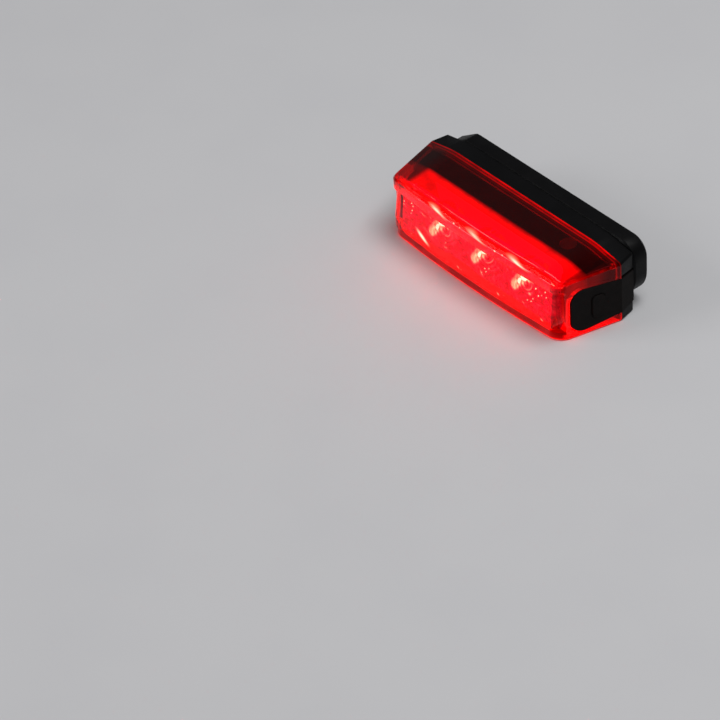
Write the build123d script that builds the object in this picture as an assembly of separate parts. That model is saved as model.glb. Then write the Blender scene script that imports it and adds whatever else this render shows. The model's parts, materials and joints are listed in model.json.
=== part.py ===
# Compact rechargeable bicycle tail light: a clear red lens shell over three collimated
# power LEDs, a black rear housing with an arm up each end, and a seat-post mount plate.
# Sizes are in millimetres. The model is drawn about the seam between lens and housing:
# x runs along the light, the lens faces -y, the housing and its mount face +y, z is up.
from build123d import *
import os
from math import atan, cos, radians, sin, sqrt

# Body outline seen from above
SEAM_HALF_LENGTH = 37.5
FRONT_NARROWING = 4.4
BACK_NARROWING = 1.15
LENS_DEPTH = 18.3
FRONT_BOW = 1.4
HOUSING_DEPTH = 5.3
FRONT_CORNER_RADIUS = 3.5
LOWER_CORNER_RADIUS = 5.0
BACK_CORNER_RADIUS = 0.8

# Body outline seen from the front and from the end, heights from the middle of the boards
TOP_HEIGHT = 11.0
BASE_DEPTH = 9.8
SHOULDER_LENGTH = 9.5
SHOULDER_DROP = 1.8
SHOULDER_RADIUS = 30.0
FRONT_DROP = 1.2
RIM_CHAMFER = 0.5

# Moulded walls, and the rib and lip that meet at the seam
END_WALL = 1.9
TOP_WALL = 1.8
BASE_WALL = 1.8
BACK_WALL = 1.8
SEAM_RIB_DEPTH = 1.8
SEAM_RIB_RISE = 0.6
LIP_GAP = 0.05
LIP_THICKNESS = 0.7
LIP_DEPTH = 1.6

# Window set back between the two brows
BROW_HEIGHT = 5.1
SILL_HEIGHT = 2.7
WINDOW_REACH = 2.3
WINDOW_SET_BACK = 0.35
WINDOW_TOP_ROLL = 0.75
WINDOW_BOTTOM_ROLL = 1.5
WINDOW_WALL = 1.1

# Rubber tongue on each end, over an arm of the housing
TONGUE_TIP_SET_BACK = 3.7
TONGUE_TOP_MARGIN = 5.0
TONGUE_BASE_MARGIN = 2.85
TONGUE_TOP_SLOPE = 0.10
TONGUE_BOTTOM_SLOPE = 0.12
TONGUE_CORNER_RADIUS = 3.8
TONGUE_SKIN = 0.95
TONGUE_PROUD = 0.12
TONGUE_GAP = 0.12
TONGUE_TIP_GAP = 0.4
ARM_THICKNESS = 1.5
ARM_ROOT = 0.8
BEND_SET_BACK = 3.1
BEND_GAP = 0.3
NAIL_GROOVE = 0.9

# Optic with its collimators, and the LEDs behind them
OPTIC_SET_BACK = 3.0
OPTIC_DEPTH = 6.1
OPTIC_PLATE_THICKNESS = 1.2
OPTIC_END_GAP = 2.8
OPTIC_ABOVE_WINDOW = 0.5
OPTIC_BELOW_WINDOW = 0.1
OPTIC_CORNER_RADIUS = 1.6
LED_END_MARGIN = 8.3
LED_COUNT = 3
LED_BASE = 3.2
LED_BASE_THICKNESS = 0.9
LED_DOME_RADIUS = 1.3
DOME_STEPS = 4
COLLIMATOR_MARGIN = 0.5
COLLIMATOR_FOOT_RADIUS = 3.1
COLLIMATOR_BORE_RADIUS = 2.4
BORE_DEPTH = 3.4
BORE_LENS_RISE = 0.8
CUP_STEPS = 4
EYE_RADIUS = 2.3
EYE_HEIGHT = 0.3
PRISM_PITCH = 1.7
PRISM_DEPTH = 0.6
PRISM_ROWS = 7
PRISM_COLUMNS = 2
PRISM_MARGIN = 0.4
LEG_RADIUS = 0.9
LEG_MARGIN = 2.0
LEG_ROOT = 0.7

# Boards, stacked behind the optic
LED_BOARD_THICKNESS = 1.0
LED_BOARD_END_GAP = 7.9
LED_BOARD_MARGIN = 0.5
THERMAL_PAD_THICKNESS = 0.4
THERMAL_PAD_MARGIN = 0.9
WEB_THICKNESS = 0.9
MAIN_BOARD_THICKNESS = 0.8
MAIN_BOARD_END_GAP = 6.4
MAIN_BOARD_TOP_GAP = 2.7
MAIN_BOARD_BASE_GAP = 3.7
BOARD_CLEARANCE = 0.15
BOARD_CORNER_RADIUS = 1.0
LINK_LENGTH = 5.0
LINK_HEIGHT = 2.0
LINK_DROP = 4.6
CHIP_THICKNESS = 0.85
DRIVER_CHIP_SIZE = 4.0
CHARGE_CHIP_SIZE = 3.0
DRIVER_CHIP_X = -9.0
DRIVER_CHIP_Z = 1.5
CHARGE_CHIP_X = 11.0
CHARGE_CHIP_Z = -1.0
INDUCTOR_X = 1.5
INDUCTOR_Z = -2.0
INDUCTOR_SIZE = 4.0
INDUCTOR_THICKNESS = 1.5
INDUCTOR_CORNER_RADIUS = 0.7

# Black inner chassis and its screws
CHASSIS_RIM = 0.3
CHASSIS_END_GAP = 0.8
CHASSIS_TOP_GAP = 0.3
CHASSIS_WALL = 1.2
CHASSIS_BACK_GAP = 0.2
BOSS_END_GAP = 12.5
BOSS_RADIUS = 1.7
BOSS_LIP_GAP = 0.15
BOSS_END_Y = 0.5
SCREW_SHANK_RADIUS = 0.8
SCREW_HEAD_RADIUS = 1.5
SCREW_HEAD_THICKNESS = 0.9
SCREW_LENGTH = 8.0
SCREW_CLEARANCE = 0.05
SCREW_SINK = 0.1
SCREW_HOLE_SPARE = 0.4
SCREW_HEAD_CLEARANCE = 0.15
BOARD_SCREW_X = 14.0
BOARD_SCREW_MARGIN = 1.1
BOARD_SCREW_RADIUS = 0.6
BOARD_SCREW_LENGTH = 2.4
BOARD_SCREW_HEAD_RADIUS = 1.1
BOARD_SCREW_HEAD_THICKNESS = 0.8

# Light pipe and status LED under the top of the lens
PIPE_END_GAP = 15.5
PIPE_RADIUS = 2.3
PIPE_FIT = 0.05
PIPE_PEG_OVERLAP = 0.1
PIPE_PEG_RADIUS = 0.5
PIPE_PEG_SET_BACK = 0.6
STATUS_LED_LENGTH = 1.6
STATUS_LED_HEIGHT = 0.8
STATUS_LED_THICKNESS = 0.6
STATUS_LED_MARGIN = 0.6

# Battery with its foam and leads, in the depth left between board and housing
BATTERY_BOARD_GAP = 1.9
BATTERY_BOSS_GAP = 0.3
BATTERY_TOP_GAP = 1.3
BATTERY_BASE_GAP = 0.3
BATTERY_EDGE_RADIUS = 1.4
FOAM_THICKNESS = 1.3
FOAM_MARGIN = 3.0
FOAM_HEIGHT = 9.0
LEAD_DIAMETER = 0.9
LEAD_SPACING = 1.9
LEAD_REACH = 1.6
LEAD_BEND_RADIUS = 1.4
LEAD_SET_BACK = 1.8
LEAD_Z = 1.6

# Charging socket
USB_WIDTH = 8.94
USB_HEIGHT = 3.16
USB_LENGTH = 7.0
USB_WALL = 0.3
USB_FLAT = 0.04
USB_END_GAP = 3.5
USB_TONGUE_WIDTH = 6.7
USB_TONGUE_THICKNESS = 0.7
USB_TONGUE_SET_BACK = 0.8
PORT_GAP = 0.22
PLUG_GAP = 0.15
PLUG_DEPTH = 0.6

# Power button and its switch
PAD_SET_BACK = 7.7
PAD_LOWERING = 0.225
PAD_WIDTH = 3.6
PAD_HEIGHT = 6.8
PAD_RADIUS = 1.1
PAD_PROUD = 0.45
BUTTON_GAP = 0.15
BUTTON_TRAVEL = 0.4
FLANGE_OVERHANG = 0.7
FLANGE_THICKNESS = 0.8
FLANGE_GAP = 0.05
FLANGE_ROOM = 0.3
NIB_DEPTH = 2.1
NIB_HEIGHT = 2.8
SWITCH_EDGE_GAP = 0.3
SWITCH_LENGTH = 2.6
SWITCH_HEIGHT = 6.2
SWITCH_DEPTH = 3.0
PLUNGER_WIDTH = 1.4
PLUNGER_HEIGHT = 2.6
PLUNGER_LENGTH = 2.0
PLUNGER_REACH = 1.1
PLUNGER_GAP = 0.06
PLUNGER_SPARE = 0.2

# Mount plate with its screws
PLATE_END_STEP = 0.9
PLATE_TOP_STEP = 0.4
PLATE_BASE_STEP = 1.5
PLATE_THICKNESS = 5.4
PLATE_TOP_RADIUS = 5.5
PLATE_BOTTOM_RADIUS = 9.0
PLATE_SHOULDER_LENGTH = 7.0
PLATE_SHOULDER_DROP = 4.6
PLATE_SHOULDER_RADIUS = 2.0
PLATE_FRONT_CHAMFER = 0.7
PLATE_BACK_CHAMFER = 0.8
MOUNT_SCREW_MARGIN = 5.4
MOUNT_SCREW_Z = 1.3
MOUNT_SHANK_RADIUS = 1.2
MOUNT_HEAD_RADIUS = 2.2
MOUNT_HEAD_THICKNESS = 1.4
MOUNT_HEAD_CLEARANCE = 0.2
MOUNT_SCREW_SINK = 0.4
MOUNT_SCREW_SPARE = 0.2
MOUNT_BOSS_RADIUS = 2.4
MOUNT_BOSS_END_Y = 0.6
MOUNT_BOSS_FLOOR = 0.5

# Saddle for a seat post, and the strap's hooks beside it
SADDLE_POST_RADIUS = 13.6
SADDLE_HALF_ANGLE = 57.0
SADDLE_FLOOR = 0.8
SADDLE_SIDE = 1.1
SADDLE_HORN_WIDTH = 1.1
SADDLE_TOP_MARGIN = 10.2
SADDLE_BASE_MARGIN = 0.5
SADDLE_POCKET = 0.8
SADDLE_FIT = 0.05
SADDLE_CORNER_RADIUS = 2.0
HOOK_SADDLE_GAP = 3.2
HOOK_STEM = 2.6
HOOK_LIP = 2.2
HOOK_MOUTH = 4.6
HOOK_GAP = 4.5
HOOK_TOP_STEP = 0.3
HOOK_BASE_STEP = 0.5
HOOK_RADIUS = 0.8
HOOK_ROOT = 1.0

# Worked out from the sizes above: the body
FAR = 60.0
FRONT_HALF_LENGTH = SEAM_HALF_LENGTH - FRONT_NARROWING
TOP_FLAT_HALF_LENGTH = SEAM_HALF_LENGTH - SHOULDER_LENGTH
END_TOP_HEIGHT = TOP_HEIGHT - SHOULDER_DROP
BOW_RADIUS = (FRONT_HALF_LENGTH**2 + FRONT_BOW**2) / (2 * FRONT_BOW)
FRONT_Y = -LENS_DEPTH - FRONT_BOW
END_TAPER = FRONT_NARROWING / LENS_DEPTH
BACK_TAPER = BACK_NARROWING / HOUSING_DEPTH
SHOULDER_SLOPE = SHOULDER_DROP / SHOULDER_LENGTH
TOP_RAKE = FRONT_DROP / LENS_DEPTH
WINDOW_TOP = TOP_HEIGHT - BROW_HEIGHT
WINDOW_BOTTOM = SILL_HEIGHT - BASE_DEPTH
TONGUE_REACH = LENS_DEPTH - TONGUE_TIP_SET_BACK
TONGUE_SEAM_TOP = END_TOP_HEIGHT - TONGUE_TOP_MARGIN
TONGUE_SEAM_BOTTOM = TONGUE_BASE_MARGIN - BASE_DEPTH
BEND_LINE_Y = HOUSING_DEPTH - BEND_SET_BACK
HOUSING_FLOOR_Y = HOUSING_DEPTH - BACK_WALL

# Worked out: optic and boards
OPTIC_FRONT_Y = OPTIC_SET_BACK - LENS_DEPTH
OPTIC_HALF_LENGTH = FRONT_HALF_LENGTH - OPTIC_END_GAP
OPTIC_TOP = WINDOW_TOP + OPTIC_ABOVE_WINDOW
OPTIC_BOTTOM = WINDOW_BOTTOM - OPTIC_BELOW_WINDOW
LED_Z = (OPTIC_TOP + OPTIC_BOTTOM) / 2
COLLIMATOR_RADIUS = (OPTIC_TOP - OPTIC_BOTTOM) / 2 - COLLIMATOR_MARGIN
LED_BOARD_FRONT_Y = OPTIC_FRONT_Y + OPTIC_DEPTH
LED_BOARD_BACK_Y = LED_BOARD_FRONT_Y + LED_BOARD_THICKNESS
LED_BOARD_HALF_LENGTH = FRONT_HALF_LENGTH - LED_BOARD_END_GAP
LED_PITCH = 2 * (LED_BOARD_HALF_LENGTH - LED_END_MARGIN) / (LED_COUNT - 1)
LED_CENTRES = [(index - (LED_COUNT - 1) / 2) * LED_PITCH for index in range(LED_COUNT)]
LED_BOARD_HALF_HEIGHT = (WINDOW_TOP - WINDOW_BOTTOM) / 2 - LED_BOARD_MARGIN
WEB_FRONT_Y = LED_BOARD_BACK_Y + THERMAL_PAD_THICKNESS
WEB_BACK_Y = WEB_FRONT_Y + WEB_THICKNESS
BOARD_BACK_Y = WEB_BACK_Y + MAIN_BOARD_THICKNESS
MAIN_BOARD_HALF_LENGTH = SEAM_HALF_LENGTH - MAIN_BOARD_END_GAP
MAIN_BOARD_TOP = END_TOP_HEIGHT - MAIN_BOARD_TOP_GAP
MAIN_BOARD_BOTTOM = MAIN_BOARD_BASE_GAP - BASE_DEPTH
CHASSIS_FRONT_Y = LED_BOARD_FRONT_Y - CHASSIS_RIM
CHASSIS_BACK_Y = -SEAM_RIB_DEPTH - CHASSIS_BACK_GAP
LIP_INSET = SEAM_RIB_RISE + LIP_GAP + LIP_THICKNESS
BOSS_X = SEAM_HALF_LENGTH - BOSS_END_GAP
BOSS_TOP_Z = TOP_HEIGHT - TOP_WALL - LIP_INSET - BOSS_LIP_GAP - BOSS_RADIUS
BOSS_BOTTOM_Z = BASE_WALL + LIP_INSET + BOSS_LIP_GAP + BOSS_RADIUS - BASE_DEPTH
HOUSING_SCREW_BACK_Y = HOUSING_DEPTH - SCREW_SINK
BOARD_SCREW_Z = MAIN_BOARD_TOP - BOARD_SCREW_MARGIN
PIPE_X = SEAM_HALF_LENGTH - PIPE_END_GAP
PIPE_Y = CHASSIS_BACK_Y - PIPE_RADIUS
PIPE_PEG_Z = MAIN_BOARD_TOP - PIPE_PEG_OVERLAP
STATUS_LED_Z = MAIN_BOARD_TOP - STATUS_LED_MARGIN

# Worked out: battery, socket and switch
BATTERY_FRONT_Y = BOARD_BACK_Y + BATTERY_BOARD_GAP
BATTERY_BACK_Y = HOUSING_FLOOR_Y - FOAM_THICKNESS
BATTERY_HALF_LENGTH = BOSS_X - BOSS_RADIUS - BATTERY_BOSS_GAP
BATTERY_TOP = TOP_HEIGHT - TOP_WALL - CHASSIS_TOP_GAP - CHASSIS_WALL - BATTERY_TOP_GAP
BATTERY_BOTTOM = BASE_WALL + CHASSIS_TOP_GAP + CHASSIS_WALL + BATTERY_BASE_GAP - BASE_DEPTH
LEAD_Y = BATTERY_BACK_Y - LEAD_SET_BACK
TONGUE_MIDDLE_Z = (TONGUE_SEAM_TOP + TONGUE_SEAM_BOTTOM) / 2
USB_MOUTH_X = USB_END_GAP - SEAM_HALF_LENGTH
USB_Y = BOARD_BACK_Y + USB_HEIGHT / 2
PAD_Y = PAD_SET_BACK - TONGUE_REACH
PAD_Z = TONGUE_MIDDLE_Z - PAD_LOWERING
SWITCH_END_X = MAIN_BOARD_HALF_LENGTH - SWITCH_EDGE_GAP
SWITCH_Y = BOARD_BACK_Y + SWITCH_DEPTH / 2
PLUNGER_TIP_X = SWITCH_END_X + PLUNGER_REACH

# Worked out: mount
PLATE_BACK_Y = HOUSING_DEPTH + PLATE_THICKNESS
PLATE_HALF_LENGTH = SEAM_HALF_LENGTH - PLATE_END_STEP
PLATE_TOP = TOP_HEIGHT - PLATE_TOP_STEP
PLATE_BOTTOM = PLATE_BASE_STEP - BASE_DEPTH
MOUNT_SCREW_X = PLATE_HALF_LENGTH - MOUNT_SCREW_MARGIN
MOUNT_SCREW_BACK_Y = PLATE_BACK_Y - MOUNT_SCREW_SINK
MOUNT_HOLE_END_Y = MOUNT_BOSS_END_Y + MOUNT_BOSS_FLOOR
MOUNT_SCREW_LENGTH = MOUNT_SCREW_BACK_Y - MOUNT_HOLE_END_Y - MOUNT_SCREW_SPARE
SADDLE_AXIS_Y = PLATE_BACK_Y + SADDLE_FLOOR + SADDLE_POST_RADIUS
SADDLE_BACK_Y = SADDLE_AXIS_Y - SADDLE_POST_RADIUS * cos(radians(SADDLE_HALF_ANGLE))
SADDLE_HORN_X = SADDLE_POST_RADIUS * sin(radians(SADDLE_HALF_ANGLE)) + SADDLE_HORN_WIDTH
SADDLE_HALF_LENGTH = SADDLE_HORN_X + SADDLE_SIDE
SADDLE_TOP = PLATE_TOP - SADDLE_TOP_MARGIN
SADDLE_BOTTOM = PLATE_BOTTOM + SADDLE_BASE_MARGIN
HOOK_X = SADDLE_HALF_LENGTH + HOOK_SADDLE_GAP
HOOK_TOP = SADDLE_TOP - HOOK_TOP_STEP
HOOK_BOTTOM = SADDLE_BOTTOM + HOOK_BASE_STEP
SET_DOWN = Pos(0, -(FRONT_Y + SADDLE_BACK_Y) / 2, BASE_DEPTH)


def prism_z(profile, low, high):
    """A profile drawn in plan, made solid from z = low to z = high."""
    return extrude(Plane.XY.offset(low) * profile, amount=high - low)


def prism_y(profile, front, back):
    """A profile drawn in front view (x, z), made solid from y = front to y = back."""
    return extrude(Plane.XZ.offset(-back) * profile, amount=back - front)


def prism_x(profile, low, high):
    """A profile drawn in end view (y, z), made solid from x = low to x = high."""
    return extrude(Plane.YZ.offset(low) * profile, amount=high - low)


def block(x_low, x_high, y_low, y_high, z_low, z_high):
    """A box between two corners."""
    return Pos(x_low, y_low, z_low) * Box(
        x_high - x_low, y_high - y_low, z_high - z_low, align=(Align.MIN, Align.MIN, Align.MIN)
    )


def rod_y(x, z, radius, front, back):
    """A round rod along y."""
    return prism_y(Pos(x, z) * Circle(radius), front, back)


def polygon(*points):
    """A closed flat face through the points."""
    return make_face(Polyline(*points, close=True))


def bow_disc(set_back=0.0):
    """The large disc whose edge is the bowed front, moved back by set_back."""
    return Pos(0, FRONT_Y + BOW_RADIUS) * Circle(BOW_RADIUS - set_back)


def ends_plan(inset):
    """The two ends alone seen from above, each carried on past the front and the back."""
    front = -2 * LENS_DEPTH
    back = 2 * HOUSING_DEPTH
    half_in_front = SEAM_HALF_LENGTH + END_TAPER * front
    half_behind = SEAM_HALF_LENGTH - BACK_TAPER * back
    ends = polygon(
        (SEAM_HALF_LENGTH, 0),
        (half_behind, back),
        (-half_behind, back),
        (-SEAM_HALF_LENGTH, 0),
        (-half_in_front, front),
        (half_in_front, front),
    )
    return offset(ends, amount=-inset, kind=Kind.INTERSECTION)


def rectangle_to(back):
    """Everything in plan in front of a depth y = back."""
    return polygon((-FAR, -FAR), (FAR, -FAR), (FAR, back), (-FAR, back))


def body_plan(corner=FRONT_CORNER_RADIUS):
    """Lens and housing seen from above."""
    plan = ends_plan(0) & bow_disc() & rectangle_to(HOUSING_DEPTH)
    plan = fillet(plan.vertices().group_by(Axis.Y)[0], corner)
    return fillet(plan.vertices().group_by(Axis.Y)[-1], BACK_CORNER_RADIUS)


def inner_plan(inset, corner=FRONT_CORNER_RADIUS):
    """The body's plan drawn in by an inset, or out by a negative one."""
    return offset(body_plan(corner), amount=-inset, kind=Kind.INTERSECTION)


def roof(drop=0.0):
    """Front view: a flat top with a slanted shoulder to each end, and nothing below."""
    eaves = TOP_HEIGHT - SHOULDER_SLOPE * (FAR - TOP_FLAT_HALF_LENGTH) - drop
    ridge = TOP_HEIGHT - drop
    face = polygon(
        (-TOP_FLAT_HALF_LENGTH, ridge),
        (TOP_FLAT_HALF_LENGTH, ridge),
        (FAR, eaves),
        (FAR, -FAR),
        (-FAR, -FAR),
        (-FAR, eaves),
    )
    return fillet(face.vertices().group_by(Axis.Y)[-1], SHOULDER_RADIUS)


def envelope_half(plan, drop, lift, rake):
    """The body's form on one side of the seam; the roof runs down with the rake."""
    run = Vector(0, -1, -rake) if rake else Vector(0, 1, 0)
    roofed = extrude(Plane.XZ * roof(drop), amount=FAR, dir=run)
    low, high = (-FAR, 0) if rake else (0, FAR)
    return prism_z(plan, lift - BASE_DEPTH, FAR) & roofed & slab(low, high)


def envelope(plan, drop=0.0, lift=0.0):
    """The body's form on both sides of the seam, for hollows and inner pieces."""
    return envelope_half(plan, drop, lift, TOP_RAKE) + envelope_half(plan, drop, lift, 0)


def slab(y_low, y_high, z_low=-FAR, z_high=FAR):
    """All the space between two heights and two depths."""
    return block(-FAR, FAR, y_low, y_high, z_low, z_high)


def rim_edges(solid):
    """The edges where upright faces meet the top and the base, but not those on the seam."""
    upright = [face for face in solid.faces() if abs(face.normal_at().Z) < 0.01]
    level = [face for face in solid.faces() if abs(face.normal_at().Z) > 0.9]
    walls = [edge for face in upright for edge in face.edges()]
    rims = [edge for face in level for edge in face.edges() if edge in walls]
    return [edge for edge in rims if abs(edge.center().Y) > 0.01]


def outer_lens():
    """Outer form of the lens, tight front corners above and rounder ones below the window."""
    upper = envelope_half(body_plan(), 0, 0, TOP_RAKE) & slab(-FAR, 0, WINDOW_BOTTOM)
    lower = envelope_half(body_plan(LOWER_CORNER_RADIUS), 0, 0, TOP_RAKE)
    lower &= slab(-FAR, 0, -FAR, WINDOW_BOTTOM)
    top_rim = [edge for edge in rim_edges(upper) if edge.center().Z > WINDOW_TOP]
    base_rim = [edge for edge in rim_edges(lower) if edge.center().Z < 0.1 - BASE_DEPTH]
    return chamfer(top_rim, RIM_CHAMFER) + chamfer(base_rim, RIM_CHAMFER)


def outer_housing():
    """Outer form of the housing behind the seam."""
    half = envelope_half(body_plan(), 0, 0, 0)
    return chamfer(rim_edges(half), RIM_CHAMFER)


def tongue_outline(grow=0.0, tip_grow=0.0, back=HOUSING_DEPTH):
    """End view of the tongue: narrow over the housing, wider and rounded at the front."""
    tip = -TONGUE_REACH - tip_grow
    top = [TONGUE_SEAM_TOP - TONGUE_TOP_SLOPE * y + grow for y in (tip, back)]
    bottom = [TONGUE_SEAM_BOTTOM + TONGUE_BOTTOM_SLOPE * y - grow for y in (tip, back)]
    outline = polygon((tip, bottom[0]), (back, bottom[1]), (back, top[1]), (tip, top[0]))
    return fillet(outline.vertices().group_by(Axis.X)[0], TONGUE_CORNER_RADIUS + grow)


def tongue_prism(side, grow=0.0, tip_grow=0.0, back=HOUSING_DEPTH):
    """The tongue's outline carried through one end: side is 1 on the right, -1 on the left."""
    solid = prism_x(tongue_outline(grow, tip_grow, back), FRONT_HALF_LENGTH / 2, FAR)
    return solid if side > 0 else mirror(solid, about=Plane.YZ)


def tongue_layer(side, outer_inset, inner_inset, grow=0.0, tip_grow=0.0, back=HOUSING_DEPTH):
    """A layer of one end, between two insets of the body's plan, inside the tongue's outline."""
    outer = prism_z(ends_plan(outer_inset), -BASE_DEPTH, TOP_HEIGHT)
    inner = prism_z(ends_plan(inner_inset), -FAR, FAR)
    return (outer - inner) & tongue_prism(side, grow, tip_grow, back) & slab(-FAR, HOUSING_DEPTH)


def end_x(y, inset=0.0):
    """Half-length of the lens at a depth y in front of the seam, under a wall of that inset."""
    return SEAM_HALF_LENGTH + END_TAPER * y - inset / cos(atan(END_TAPER))


def pad_outline(grow=0.0):
    """End view of the power button's pad."""
    return Pos(PAD_Y, PAD_Z) * RectangleRounded(
        PAD_WIDTH + 2 * grow, PAD_HEIGHT + 2 * grow, PAD_RADIUS + grow
    )


def window_recess():
    """What is cut away so that the window lies behind the brows, rolled in at top and bottom."""
    middle = (WINDOW_TOP + WINDOW_BOTTOM) / 2
    steps = [
        (WINDOW_BOTTOM, WINDOW_SET_BACK + WINDOW_BOTTOM_ROLL),
        (middle, WINDOW_SET_BACK),
        (WINDOW_TOP, WINDOW_SET_BACK + WINDOW_TOP_ROLL),
    ]
    pane = loft([Plane.XY.offset(z) * inner_plan(inset) for z, inset in steps])
    return slab(-FAR, -LENS_DEPTH + WINDOW_REACH, WINDOW_BOTTOM, WINDOW_TOP) - pane


def lens_shell():
    """Clear red shell: one moulding with brows, window, end slots and a rib at the seam."""
    glass_inset = WINDOW_SET_BACK + WINDOW_BOTTOM_ROLL + WINDOW_WALL
    hollow = envelope(inner_plan(END_WALL) & bow_disc(glass_inset), TOP_WALL, BASE_WALL)
    ribbed = envelope(
        inner_plan(END_WALL + SEAM_RIB_RISE), TOP_WALL + SEAM_RIB_RISE, BASE_WALL + SEAM_RIB_RISE
    )
    shell = outer_lens() - (hollow & slab(-FAR, -SEAM_RIB_DEPTH)) - ribbed
    shell -= window_recess()
    for side in (1, -1):
        shell -= tongue_prism(side, TONGUE_GAP, TONGUE_TIP_GAP)
    return shell


def optic_profile():
    """Half section of a collimator: radius across, depth up, turned about the LED's axis."""
    foot = LED_BOARD_FRONT_Y - BOARD_CLEARANCE
    plate_back = OPTIC_FRONT_Y + OPTIC_PLATE_THICKNESS
    bore_end = LED_BOARD_FRONT_Y - BORE_DEPTH
    swell = COLLIMATOR_RADIUS - COLLIMATOR_FOOT_RADIUS
    steps = [index / CUP_STEPS for index in range(CUP_STEPS + 1)]
    side = [
        (COLLIMATOR_FOOT_RADIUS + swell * sqrt(t), foot + (plate_back - foot) * t) for t in steps
    ]
    return polygon(
        *side,
        (COLLIMATOR_RADIUS, OPTIC_FRONT_Y),
        (0, OPTIC_FRONT_Y),
        (0, bore_end + BORE_LENS_RISE),
        (COLLIMATOR_BORE_RADIUS / 2, bore_end + BORE_LENS_RISE * 3 / 4),
        (COLLIMATOR_BORE_RADIUS, bore_end),
        (COLLIMATOR_BORE_RADIUS, foot),
    )


def prism_field(side):
    """Crossed V grooves in the back of the optic's plate, which leave rows of small pyramids."""
    back = OPTIC_FRONT_Y + OPTIC_PLATE_THICKNESS
    outer = OPTIC_HALF_LENGTH - PRISM_MARGIN
    inner = outer - PRISM_COLUMNS * PRISM_PITCH
    grooves = []
    for column in range(PRISM_COLUMNS + 1):
        x = side * (inner + column * PRISM_PITCH)
        vee = polygon((x - PRISM_DEPTH, back), (x + PRISM_DEPTH, back), (x, back - PRISM_DEPTH))
        grooves.append(prism_z(vee, OPTIC_BOTTOM, OPTIC_TOP))
    start = (OPTIC_TOP + OPTIC_BOTTOM - PRISM_ROWS * PRISM_PITCH) / 2
    for row in range(PRISM_ROWS + 1):
        z = start + row * PRISM_PITCH
        vee = polygon((back, z - PRISM_DEPTH), (back, z + PRISM_DEPTH), (back - PRISM_DEPTH, z))
        low, high = sorted((side * (inner - PRISM_DEPTH), side * (outer + PRISM_DEPTH)))
        grooves.append(prism_x(vee, low, high))
    return grooves


def optic_array():
    """Collimators in one clear moulding, with an eye in front of each and prisms at both ends."""
    plate_back = OPTIC_FRONT_Y + OPTIC_PLATE_THICKNESS
    outline = Pos(0, (OPTIC_TOP + OPTIC_BOTTOM) / 2) * RectangleRounded(
        2 * OPTIC_HALF_LENGTH, OPTIC_TOP - OPTIC_BOTTOM, OPTIC_CORNER_RADIUS
    )
    array = prism_y(outline, OPTIC_FRONT_Y, plate_back)
    cup = revolve(optic_profile(), Axis.Y)
    leg_x = OPTIC_HALF_LENGTH - LEG_MARGIN
    for x in LED_CENTRES:
        array += Pos(x, 0, LED_Z) * cup
        array += rod_y(x, LED_Z, EYE_RADIUS, OPTIC_FRONT_Y - EYE_HEIGHT, OPTIC_FRONT_Y)
    for side in (1, -1):
        for groove in prism_field(side):
            array -= groove
        for z in (OPTIC_TOP - LEG_MARGIN, OPTIC_BOTTOM + LEG_MARGIN):
            array += rod_y(side * leg_x, z, LEG_RADIUS, plate_back - LEG_ROOT, CHASSIS_FRONT_Y)
    return array


def led_base(x):
    """Ceramic base of one LED."""
    half = LED_BASE / 2
    front = LED_BOARD_FRONT_Y - LED_BASE_THICKNESS
    return block(x - half, x + half, front, LED_BOARD_FRONT_Y, LED_Z - half, LED_Z + half)


def led_dome(x):
    """Silicone dome over one LED's die, in flat steps round a half circle."""
    front = LED_BOARD_FRONT_Y - LED_BASE_THICKNESS
    turns = [radians(90 * index / DOME_STEPS) for index in range(DOME_STEPS + 1)]
    arc = [(LED_DOME_RADIUS * cos(turn), front - LED_DOME_RADIUS * sin(turn)) for turn in turns]
    return Pos(x, 0, LED_Z) * revolve(polygon((0, front), *arc), Axis.Y)


def link_block(grow=0.0):
    """Pin block that joins the LED board to the main board through the chassis."""
    x = LED_PITCH / 2
    half_x = LINK_LENGTH / 2 + grow
    half_z = LINK_HEIGHT / 2 + grow
    return block(
        x - half_x, x + half_x, LED_BOARD_BACK_Y, WEB_BACK_Y, -LINK_DROP - half_z, half_z - LINK_DROP
    )


def led_board_outline(grow=0.0):
    """Front view of the LED board."""
    return RectangleRounded(
        2 * (LED_BOARD_HALF_LENGTH + grow), 2 * (LED_BOARD_HALF_HEIGHT + grow), BOARD_CORNER_RADIUS
    )


def led_board():
    """Aluminium-core board behind the LEDs."""
    return prism_y(led_board_outline(), LED_BOARD_FRONT_Y, LED_BOARD_BACK_Y)


def thermal_pad():
    """Soft pad that carries the LEDs' heat to the chassis."""
    pad = prism_y(led_board_outline(-THERMAL_PAD_MARGIN), LED_BOARD_BACK_Y, WEB_FRONT_Y)
    return pad - link_block(BOARD_CLEARANCE)


def chassis_form(inset=0.0):
    """The chassis's outer form, or its inner one with the wall as inset."""
    plan = inner_plan(END_WALL + CHASSIS_END_GAP + inset)
    return envelope(plan, TOP_WALL + CHASSIS_TOP_GAP + inset, BASE_WALL + CHASSIS_TOP_GAP + inset)


def boss_places():
    """The four places where the chassis is screwed to the housing."""
    return [(side * BOSS_X, z) for side in (1, -1) for z in (BOSS_TOP_Z, BOSS_BOTTOM_Z)]


def button_window():
    """Room in the chassis's end for the button's flange and its travel."""
    reach = FLANGE_OVERHANG + FLANGE_ROOM
    half_height = PAD_HEIGHT / 2 + reach
    low = PAD_Y - PAD_WIDTH / 2 - reach
    high = SWITCH_Y + PLUNGER_WIDTH
    inner = SWITCH_END_X - FLANGE_ROOM
    return block(inner, FAR, low, high, PAD_Z - half_height, PAD_Z + half_height)


def usb_window(gap, x_high=-USB_LENGTH):
    """The charging socket's outline with a gap round it, carried out through the left end."""
    outline = Pos(USB_Y, TONGUE_MIDDLE_Z) * RectangleRounded(
        USB_HEIGHT + 2 * gap, USB_WIDTH + 2 * gap, (USB_HEIGHT - USB_FLAT) / 2 + gap
    )
    return prism_x(outline, -FAR, x_high)


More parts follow.
